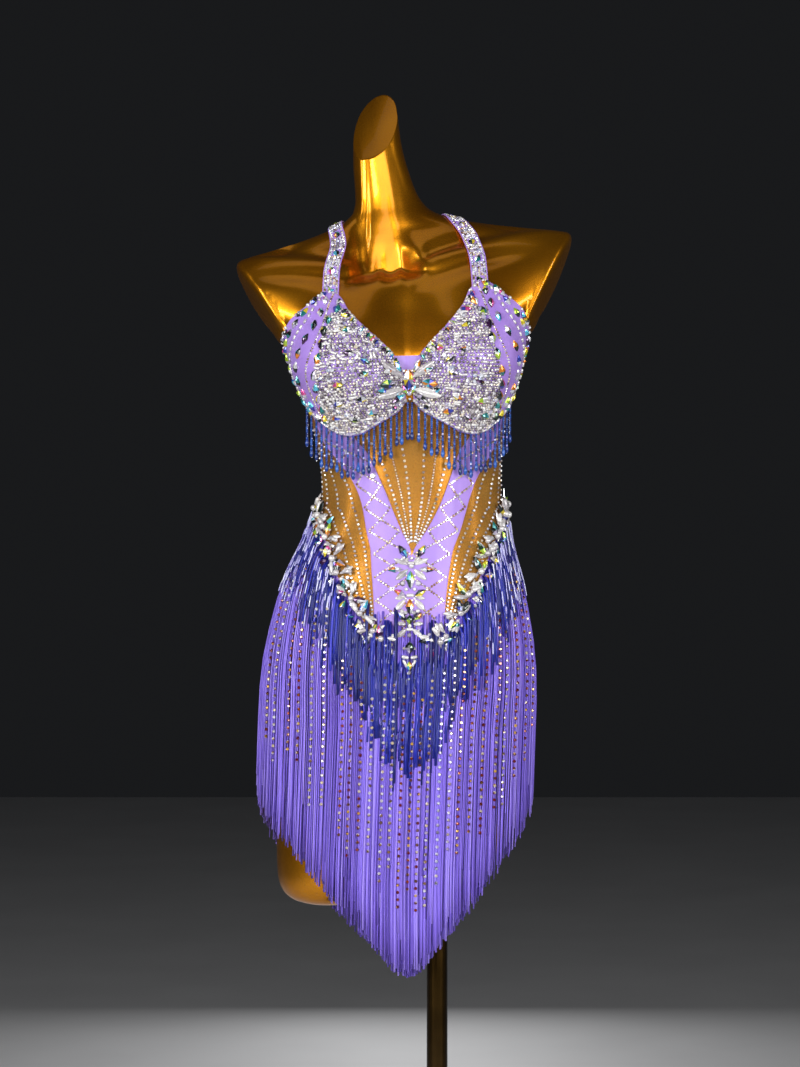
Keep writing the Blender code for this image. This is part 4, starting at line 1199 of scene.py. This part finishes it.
def make_bugles():
    """Loose bugle beads on the upper fringe: clear and lavender at the hips, navy in the blue V."""
    ice, navy = [], []
    for _ in range(ICE_BUGLES):
        angle = rng.choice((-1, 1)) * rng.uniform(46, 89)
        root = hip_height(angle)
        depth = 10 + 84 * rng.random() ** 1.5
        width = rng.uniform(1.2, 1.7)
        ice.append(hung_bead(angle, root, root - depth, rng.uniform(4, 9.5), ON_CLOTH + 8.4, width))
    for _ in range(NAVY_BUGLES):
        angle = rng.normal(0, 36)
        if abs(angle) < 80:
            root, end = hip_height(angle), BLUE_HEM_HEIGHT(abs(angle))
            height = root - 20 - (root - end - 24) * rng.random()
            navy.append(hung_bead(angle, root, height, rng.uniform(4.0, 8.0), ON_CLOTH + 8.6, 1.7))
    copies("hip_ice_bugles", BUGLE, ICE, ice)
    copies("hip_navy_bugles", BUGLE, NAVY, navy)


def make_stone_strings():
    """Long strings of flat-backed stones down the skirt's fringe, all round."""
    strings = Stones("amber", "champagne", "clear")
    draw = ("amber", "champagne", "amber", "clear", "amber", "champagne", "amber")
    angles = [-80 + 160 * (i + 0.5) / FRONT_STRINGS for i in range(FRONT_STRINGS)]
    angles += [98 + 164 * (i + 0.5) / BACK_STRINGS for i in range(BACK_STRINGS)]
    for angle in angles:
        angle += rng.uniform(-1.6, 1.6)
        root = hip_height(angle)
        height = root - rng.uniform(38, 75)
        end = hem_height(angle) + rng.uniform(58, 112)
        places = strings.places[draw[int(rng.integers(7))]]
        surface = lambda a, h, out: hanging_point(a, root, h, out)
        size = rng.uniform(3.9, 4.4)
        out = ON_CLOTH + (8.0 if from_front(angle) < 55 else 6.6)
        while height > end:
            places.append(on_surface(surface, angle, height, out, spin(), size))
            height -= STRING_STEP
    strings.make("skirt_stones_{}")


def strung(top, step, count, size):
    """Frames for beads strung straight down from a point, step millimetres apart."""
    turn = Matrix.Rotation(rng.uniform(0, 1), 3, "Z")
    return [framed(turn, size, top - Vector((0, 0, (i + 0.5) * step * MM))) for i in range(count)]


def make_bust_fringe(name, side):
    """Strings of cut seed beads along a cup's lower edge, with a drop at the end of each."""
    seeds, drops, sparks = [], [], []
    angle = 1.6
    while angle < CUP_OUTER - 4:
        top = posed(figure_point(side * angle, CUP_LOWER(angle) - 1.0, CUP_RIM + 2.0))
        length = 43 + 9 * sin(radians(min(angle, 60))) + rng.uniform(-6, 5)
        count = int((length - 7) / SEED_STEP)
        seeds += strung(top, SEED_STEP, count, SEED_SIZE)
        foot = top - Vector((0, 0, (count * SEED_STEP - 0.5) * MM))
        drops += strung(foot, 7.6, 1, DROP_SIZE)
        for _ in range(int(rng.integers(0, 3))):
            spark = top - Vector((0, 0.0019, rng.uniform(6, length - 8) * MM))
            sparks += strung(spark, 0, 1, SPARK_SIZE)
        angle = around(angle, CUP_LOWER(angle), rng.uniform(6.2, 7.4))
    copies(f"{name}_seeds", SEED, ROYAL, seeds, [name])
    copies(f"{name}_drops", DROP, ROYAL, drops)
    copies(f"{name}_sparks", SEED, ICE, sparks)


# ---------------- stones sewn on


def line_on_figure(angle_at, start, end, spacing_at, size):
    """Frames for a line of round stones that runs down the figure, from start to end."""
    found, height = [], start
    while height > end:
        angle = angle_at(height)
        found.append(on_surface(figure_point, angle, height, ON_CLOTH, spin(), size))
        slope = radians(angle_at(height - 1) - angle) * figure_radius(angle, height)
        height -= spacing_at(height) / hypot(1, slope)
    return found


LINES_TOP = 1176  # under the cups' lower edges


def make_mesh_lines():
    """Lines of stones that fan up the sheer panels from their points."""
    lines = []
    for share in (0.23, 0.5, 0.77):
        for side in (1, -1):
            fine = share == 0.5
            lines += line_on_figure(
                lambda z: side * share * V_EDGE(z), LINES_TOP + 6, V_POINT + 4 + 8 * (1 - share),
                lambda z: (3.3 if fine else 4.2 + 2.6 * clamped((z - 1060) / 70)), 2.4 if fine else 3.7,
            )
    for share in (0.14, 0.38, 0.62, 0.86):
        for side in (1, -1):
            lines += line_on_figure(
                lambda z: side * (STRIP_EDGE(z) + share * (hip_angle(z) - STRIP_EDGE(z))),
                LINES_TOP, SIDE_MESH_FOOT + 7 + 6 * share,
                lambda z: 4.0 + 1.8 * clamped((z - 950) / 90), 3.4,
            )
    copies("mesh_stone_lines", CHATON, CRYSTAL, lines)


def make_lattice():
    """A diamond lattice of small stones down each satin strip, and one large stone high on the right one."""
    lattice = []
    cell = 54  # the height of a diamond
    for phase in (0, 1):
        for side in (1, -1):

            def lattice_angle(z):
                wave = 1 - 4 * abs((z / cell + phase / 2) % 1 - 0.5)
                middle = (V_EDGE(z) + STRIP_EDGE(z)) / 2
                return side * (middle + (STRIP_EDGE(z) - V_EDGE(z)) * 0.45 * wave)

            lattice += line_on_figure(lattice_angle, LINES_TOP, BODICE_FOOT + 7, level(3.5), 3.4)
    copies("strip_lattice", CHATON, CHAMPAGNE, lattice)
    big = on_surface(figure_point, -31, 1118, ON_CLOTH, 0.3, 8.5)
    copies("strip_large_stone", CHATON, CRYSTAL, [big])


def down_row(row, step):
    """Angle, height and slope at even steps down one of a cup's rows."""
    height = CUP_TOP
    while height > CUP_FOOT:
        angle = row(height)
        across = radians(row(height - 1) - angle) * figure_radius(angle, height)
        if CUP_LOWER(angle) + 2.5 < height < CUP_UPPER(angle) - 2.5:
            yield angle, height, atan2(-1, across)
        height -= step * 0.93 / hypot(1, across)


BUTTERFLY_HEIGHT = 1226
CRUST_STEP, CRUST_ROW = 3.2, 2.9  # from spot to spot along a row of the crust, and up to the next row
GROUND_SEEDS = 0.8  # the share of the crust's ground that is seeds, the rest being stones
BARS_BELOW, PEARLS_BELOW, LARGE_BELOW = 0.07, 0.20, 0.27  # draws that put something larger on it


class Cup(Stones):
    """Collects the stones of one cup."""

    def __init__(self, side):
        super().__init__("stones", "seeds", "pearls", "bars", "rainbow", "glints")
        self.side = side

    def put(self, kind, angle, height, out, turn, size):
        turn = turn if self.side > 0 else pi - turn
        place = on_surface(cup_point, self.side * angle, height, CUP_WALL + out, turn, size)
        self.places[kind].append(place)


def crust_spot(cup, angle, height):
    """One spot of the crust: a seed or a small stone, and on some a bar, a pearl or a larger stone."""
    spot = around(angle, height, rng.uniform(-0.5, 0.5))
    ground = rng.uniform(3.5, 4.1)
    if rng.random() < GROUND_SEEDS:
        cup.put("seeds", spot, height, 0.9, spin(), (ground, ground, 2.8))
    else:
        cup.put("stones", spot, height, 0, spin(), ground)
    kind = rng.random()
    up = height + rng.uniform(-0.8, 0.8)
    clear_of_jewel = angle > 21 or abs(height - BUTTERFLY_HEIGHT) > 27
    if kind < BARS_BELOW and clear_of_jewel:
        turn = pi / 2 + rng.normal(0, 0.17) + (1.5 if rng.random() < 0.2 else 0)
        cup.put("bars", spot, up, 2.3, turn, (3.0, 8.0, 3.0))
    elif kind < PEARLS_BELOW:
        cup.put("pearls", spot, up, 1.6, 0, rng.uniform(3.2, 4.8))
    elif kind < LARGE_BELOW and clear_of_jewel:
        size = rng.uniform(4.6, 6.4)
        cup.put("stones", spot, up, 1.2, spin(), size)


def crust_cup(cup):
    """The inner part of a cup, crusted all over with stones, pearls and bars."""
    height = CUP_FOOT - 4.0
    row = 0
    while height < CUP_TOP:
        angle = CUP_INNER + (row % 2) * 1.2
        while angle < BORDER(height):
            if CUP_LOWER(angle) + 3 < height < CUP_UPPER(angle) - 3:
                crust_spot(cup, angle, height)
            angle = around(angle, height, CRUST_STEP)
        height += CRUST_ROW
        row += 1
    for angle, height in (
        (32, 1284), (19, 1262), (30, 1258), (13, 1240), (25, 1238), (36, 1230), (17, 1218),
        (28, 1212), (40, 1209), (24, 1194), (36, 1188), (46, 1190), (34, 1302),
    ):
        cup.put("rainbow", angle, height, 2.1, rng.uniform(-0.6, 0.6), (13, 15, 9))


def row_cup(cup):
    """The rows that run down the outer part of a cup, and the row along its edges."""
    for row, step, out, size in (
        (BORDER, 15.5, 0.9, (15.5, 17.5, 10)), (MIDDLE, 17.0, 0, (15, 15, 9)), (OUTER, 15.0, 0, (14, 14, 9)),
    ):
        for angle, height, turn in down_row(row, step):
            cup.put("rainbow", angle, height, out, turn, size)
    for angle, height, _ in down_row(FINE, 3.1):
        cup.put("glints", angle, height, 0, spin(), 3.2)
    for angle, height, turn in down_row(OVALS, 7.2):
        cup.put("bars", angle, height, 1.1, pi / 2 + turn, (3.2, 5.2, 3.2))
    for angle in np.arange(CUP_INNER, CUP_OUTER, 1.0):
        top = CUP_UPPER(angle)
        if rng.random() < 0.5:
            cup.put("pearls", angle, top - 0.8, 0.8, 0, rng.uniform(3.4, 5.2))
        if rng.random() < 0.16 and angle < 40:
            cup.put("bars", angle, top - 2.5, 2.2, 2.2, (3.0, 6.8, 3.0))
        if rng.random() < 0.25:
            cup.put("rainbow", angle, top - 5, 1.2, rng.uniform(1.9, 2.6), (10.5, 11, 8))
        size = rng.uniform(2.8, 4.2)
        cup.put("stones", angle, CUP_LOWER(angle) + 1.2, 0.6, spin(), size)


def make_cup_stones(name, side):
    cup = Cup(side)
    crust_cup(cup)
    row_cup(cup)
    cup.make(f"cup_{{}}_{name}")


def make_strap_stones():
    """Slanting rows of small stones between large ones, down each strap."""
    stones = Stones("stones", "glints", "rainbow")
    step, rows = (0.02, 0.004), 92
    for _, side in SIDES:
        surface = lambda s, t, out: strap_point(s, t, side, out)
        for i in range(rows):
            t = 0.015 + 0.94 * i / rows
            for j, s in enumerate((0.13, 0.31, 0.5, 0.69, 0.87)):
                if i % 9 in (3, 4, 5) and 0 < j < 4:
                    continue
                place = on_surface(surface, s, t + (j - 2) * 0.0022, CLOTH, spin(), 3.8, step)
                stones.places["glints" if rng.random() < 0.35 else "stones"].append(place)
            if i % 9 == 4:
                place = on_surface(surface, 0.5, t, CLOTH, rng.uniform(0.9, 2.2), (12.5, 15, 8), step)
                stones.places["rainbow"].append(place)
    stones.make("strap_{}")


# ---------------- flowers of stones

# One stone of a flower. Round ones have no width or turn of their own
Bit = namedtuple("Bit", "across up length width turn", defaults=(0, 0))


class Spray(Stones):
    """Collects the pearls, petals and stones of the sewn-on flowers."""

    def __init__(self):
        super().__init__("petals", "marquises", "jewels", "pearls", "bars", "stones")

    def put(self, kind, bit, spot, lean, mirror, scale):
        """Places a bit of a flower on its spot: a surface, an angle, a height and how far out."""
        surface, angle, height, out = spot
        x, y = bit.across * mirror * scale, bit.up * scale
        across = x * cos(lean) - y * sin(lean)
        up = x * sin(lean) + y * cos(lean)
        turn = radians(bit.turn if mirror > 0 else 180 - bit.turn) + lean
        length, width = bit.length * scale, bit.width * scale
        size, lift = (length, width, 0.55 * (length * width) ** 0.5), 0.0
        if kind in ("marquises", "jewels"):
            size, lift = (length, width / POINTED, 0.9 * width), 0.8
        elif kind == "bars":
            turn += pi / 2
            size, lift = (width, length, width), width * 0.45
        elif kind == "pearls":
            size, lift = length, length * 0.45
        elif kind == "stones":
            size = length
        angle = around(angle, height, across)
        self.places[kind].append(on_surface(surface, angle, height + up, out + lift, turn, size, (3.0, 1.0)))

    def add(self, flower, *spot, lean=0.0, mirror=1, scale=1.0):
        for kind, bits in flower.items():
            for bit in bits:
                self.put(kind, bit, spot, lean, mirror, scale)


def flower(mirrored=True, **kinds):
    """A flower's bits by kind, with those off the centre line once more on the other side."""
    found = {kind: [Bit(*values) for values in rows] for kind, rows in kinds.items()}
    for bits in found.values():
        if mirrored:
            bits += [bit._replace(across=-bit.across, turn=180 - bit.turn) for bit in bits if bit.across]
    return found


BUTTERFLY = flower(
    petals=((5, 3, 36, 17, 36), (6, -8, 35, 20, -14)),
    marquises=(
        (14, -19, 20, 8, -27), (42, 23, 13, 7, 30), (13, 17, 14, 7, 60), (6, -9, 12, 6.5, 62),
        (19, -29, 7, 6),
    ),
    jewels=((25, -1, 20, 11.5, -6), (0, 2, 25, 13, 90)),
    pearls=((7, 12, 4), (0, -20, 3.6)),
    stones=((0, -14, 6), (6, -22, 4.5), (11, -27, 4.5)),
)
STAR = flower(
    petals=((3, 2, 19, 10, 24), (3, -2, 20, 13, -42), (2, 3, 13, 9, 48)),
    marquises=((11, 18, 18, 9, 58), (18, -3, 18, 7.5, -5), (0, -15, 22, 10.5, 90)),
    pearls=((0, 1, 6.5), (5, 9, 3.6)),
    bars=((0, 4, 8, 4.4),),
    stones=((9, -19, 7.5), (0, 10, 4.5)),
)
BLOOM = flower(
    petals=((5, 1, 18, 13, -48), (5, 4, 13, 10, -12)),
    marquises=((0, -8, 19, 10.5, 90), (12, 8, 15, 8, 28)),
    pearls=((5, 12, 4.6), (9, -13, 5.2)),
    bars=((0, 5, 9, 4.6),),
    stones=((5, -15, 6),),
)
LAST_BLOOM = flower(
    petals=((3, -1, 16, 12, -42), (4, 4, 12, 9, 4)),
    marquises=((0, 9, 12, 9, 90), (9, 13, 13, 9, 42)),
    pearls=((0, 2, 5),),
    bars=((9, 4, 8, 3.8), (0, -2, 8, 4)),
    stones=((0, -9, 6),),
)
TAIL_DROP = flower(
    marquises=((0, 6, 15, 12, 90), (0, -15, 11, 8, 90)),
    bars=((5, -5, 8, 4.2, 12), (5, -12, 9, 3.6, 62)),
    stones=((0, -23, 5.4), (0, -30, 4), (6, 5, 4)),
)
HIP_SPRAY = flower(
    mirrored=False,
    petals=((0, 2, 20, 12, 40), (1, -2, 19, 15, -25), (-1, 0, 20, 10, 168)),
    marquises=((-7, 10, 20, 9, 112), (9, -8, 17, 9, -58), (-8, -9, 15, 8, 230)),
    pearls=((-3, 3, 8), (5, -3, 5)),
    bars=((9, 7, 12, 5.4, 8),),
    stones=((-10, 1, 5), (11, 0, 5), (3, -11, 4.6)),
)


STAR_HEIGHT, BLOOM_HEIGHT, LAST_BLOOM_HEIGHT, TAIL_HEIGHT = 1011, 973, 941, 912
GARLAND_BLOOMS, GARLAND_START, GARLAND_REACH = 11, 86, 69  # from each side seam towards the front


def make_spray(name, replaces, *flowers):
    """One piece for each kind of stone of a few flowers on the centre line."""
    spray = Spray()
    for values in flowers:
        spray.add(*values)
    spray.make(name + "_{}", [replaces])


def make_hip_garland(name, side):
    hip = Spray()
    for i in range(GARLAND_BLOOMS):
        angle = GARLAND_START - GARLAND_REACH * i / (GARLAND_BLOOMS - 1)
        rise = HIP_HEIGHT(angle + 2) - HIP_HEIGHT(angle - 2)
        lean = side * atan2(rise, 9) + rng.normal(0, 0.6)
        flip, scale = side * (1 if i % 2 else -1), rng.uniform(0.90, 1.14)
        spot = (figure_point, side * angle, GARLAND_HEIGHT(angle), ON_CLOTH + 3.5)
        hip.add(HIP_SPRAY, *spot, lean=lean, mirror=flip, scale=scale)
    hip.make(f"hip_garland_{name}_{{}}", [f"applique_hip_{name}"])


def make_flowers():
    butterfly = (BUTTERFLY, cup_point, 0, BUTTERFLY_HEIGHT + 1, CUP_WALL + 3.4)
    make_spray("bust_butterfly", "applique_bust", butterfly)
    make_spray("front_star", "applique_front_star", (STAR, figure_point, 0, STAR_HEIGHT, ON_CLOTH))
    make_spray(
        "front_tail", "applique_front_tail",
        (BLOOM, figure_point, 0, BLOOM_HEIGHT, ON_CLOTH),
        (LAST_BLOOM, figure_point, 0, LAST_BLOOM_HEIGHT, ON_CLOTH + 2),
        (TAIL_DROP, figure_point, 0, TAIL_HEIGHT, ON_CLOTH + 8),
    )
    for name, side in SIDES:
        make_hip_garland(name, side)


# ---------------- room, lights and camera

SEEN_HEIGHT, CAMERA_AWAY, CAMERA_UP, CAMERA_ASIDE = 1280.4, 3020, 1050, -9.6
SENSOR = 36.0
CHEST = (0, 0, 1.1)


def soft_light(name, place, target, width, height, power, spread=180):
    light = bpy.data.lights.new(name, "AREA")
    light.shape, light.size, light.size_y = "RECTANGLE", width, height
    light.energy, light.spread = power, radians(spread)
    lamp = linked(name, light)
    lamp.location = place
    lamp.rotation_euler = (Vector(target) - Vector(place)).to_track_quat("-Z", "Y").to_euler()


def make_lights():
    soft_light("key_left", (-1.5, -2.5, 1.35), CHEST, 0.9, 1.5, 19, 110)
    soft_light("key_right", (1.6, -2.4, 1.25), CHEST, 0.8, 1.5, 15, 110)
    soft_light("front_tall", (0.0, -3.2, 2.0), (0, 0, 1.3), 2.4, 2.0, 14.6, 110)
    soft_light("strip_left", (-1.7, -0.7, 1.45), CHEST, 0.16, 1.5, 9)
    soft_light("strip_right", (1.7, -0.6, 1.35), CHEST, 0.16, 1.5, 7)
    soft_light("top_soft", (-0.3, -0.3, 3.1), (0, 0, 1.4), 1.2, 1.2, 1.4)
    soft_light("back_soft", (0.0, 2.6, 0.95), (0, 0, 1.05), 0.3, 0.9, 14)


def make_room():
    floor = alone(bpy.ops.mesh.primitive_plane_add, size=14)
    paint = Finish("studio_floor")
    mottle = paint.noise(3.0)
    pale = paint.ramp(mottle, (0.3, (0.60, 0.60, 0.61)), (0.7, (0.65, 0.65, 0.66)))
    floor.name = "studio_floor"
    floor.data.materials.append(paint.made(pale, 0.6).material)
    world = bpy.data.worlds.new("soft_studio")
    world.use_nodes = True
    background = world.node_tree.nodes["Background"]
    background.inputs["Color"].default_value = (0.80, 0.84, 0.92, 1)
    background.inputs["Strength"].default_value = 0.012
    bpy.context.scene.world = world
    bpy.context.scene.view_settings.view_transform = "Standard"


def make_camera():
    camera = bpy.data.cameras.new("camera")
    camera.sensor_width = SENSOR
    camera.lens = SENSOR * CAMERA_AWAY / SEEN_HEIGHT
    eye = linked("camera", camera)
    eye.location = Vector((CAMERA_ASIDE, -CAMERA_AWAY, CAMERA_UP)) * MM
    eye.rotation_euler = (radians(90), 0, 0)
    bpy.context.scene.camera = eye


make_form()
make_stand()
make_bodice()
make_brief()
make_bra()
make_band_clasp()
make_skirt()
make_blue_fringe()
make_bugles()
make_stone_strings()
for name, side in SIDES:
    make_bust_fringe(f"bust_fringe_{name}", side)
make_mesh_lines()
make_lattice()
for name, side in SIDES:
    make_cup_stones(name, side)
make_strap_stones()
make_flowers()
make_room()
make_lights()
make_camera()
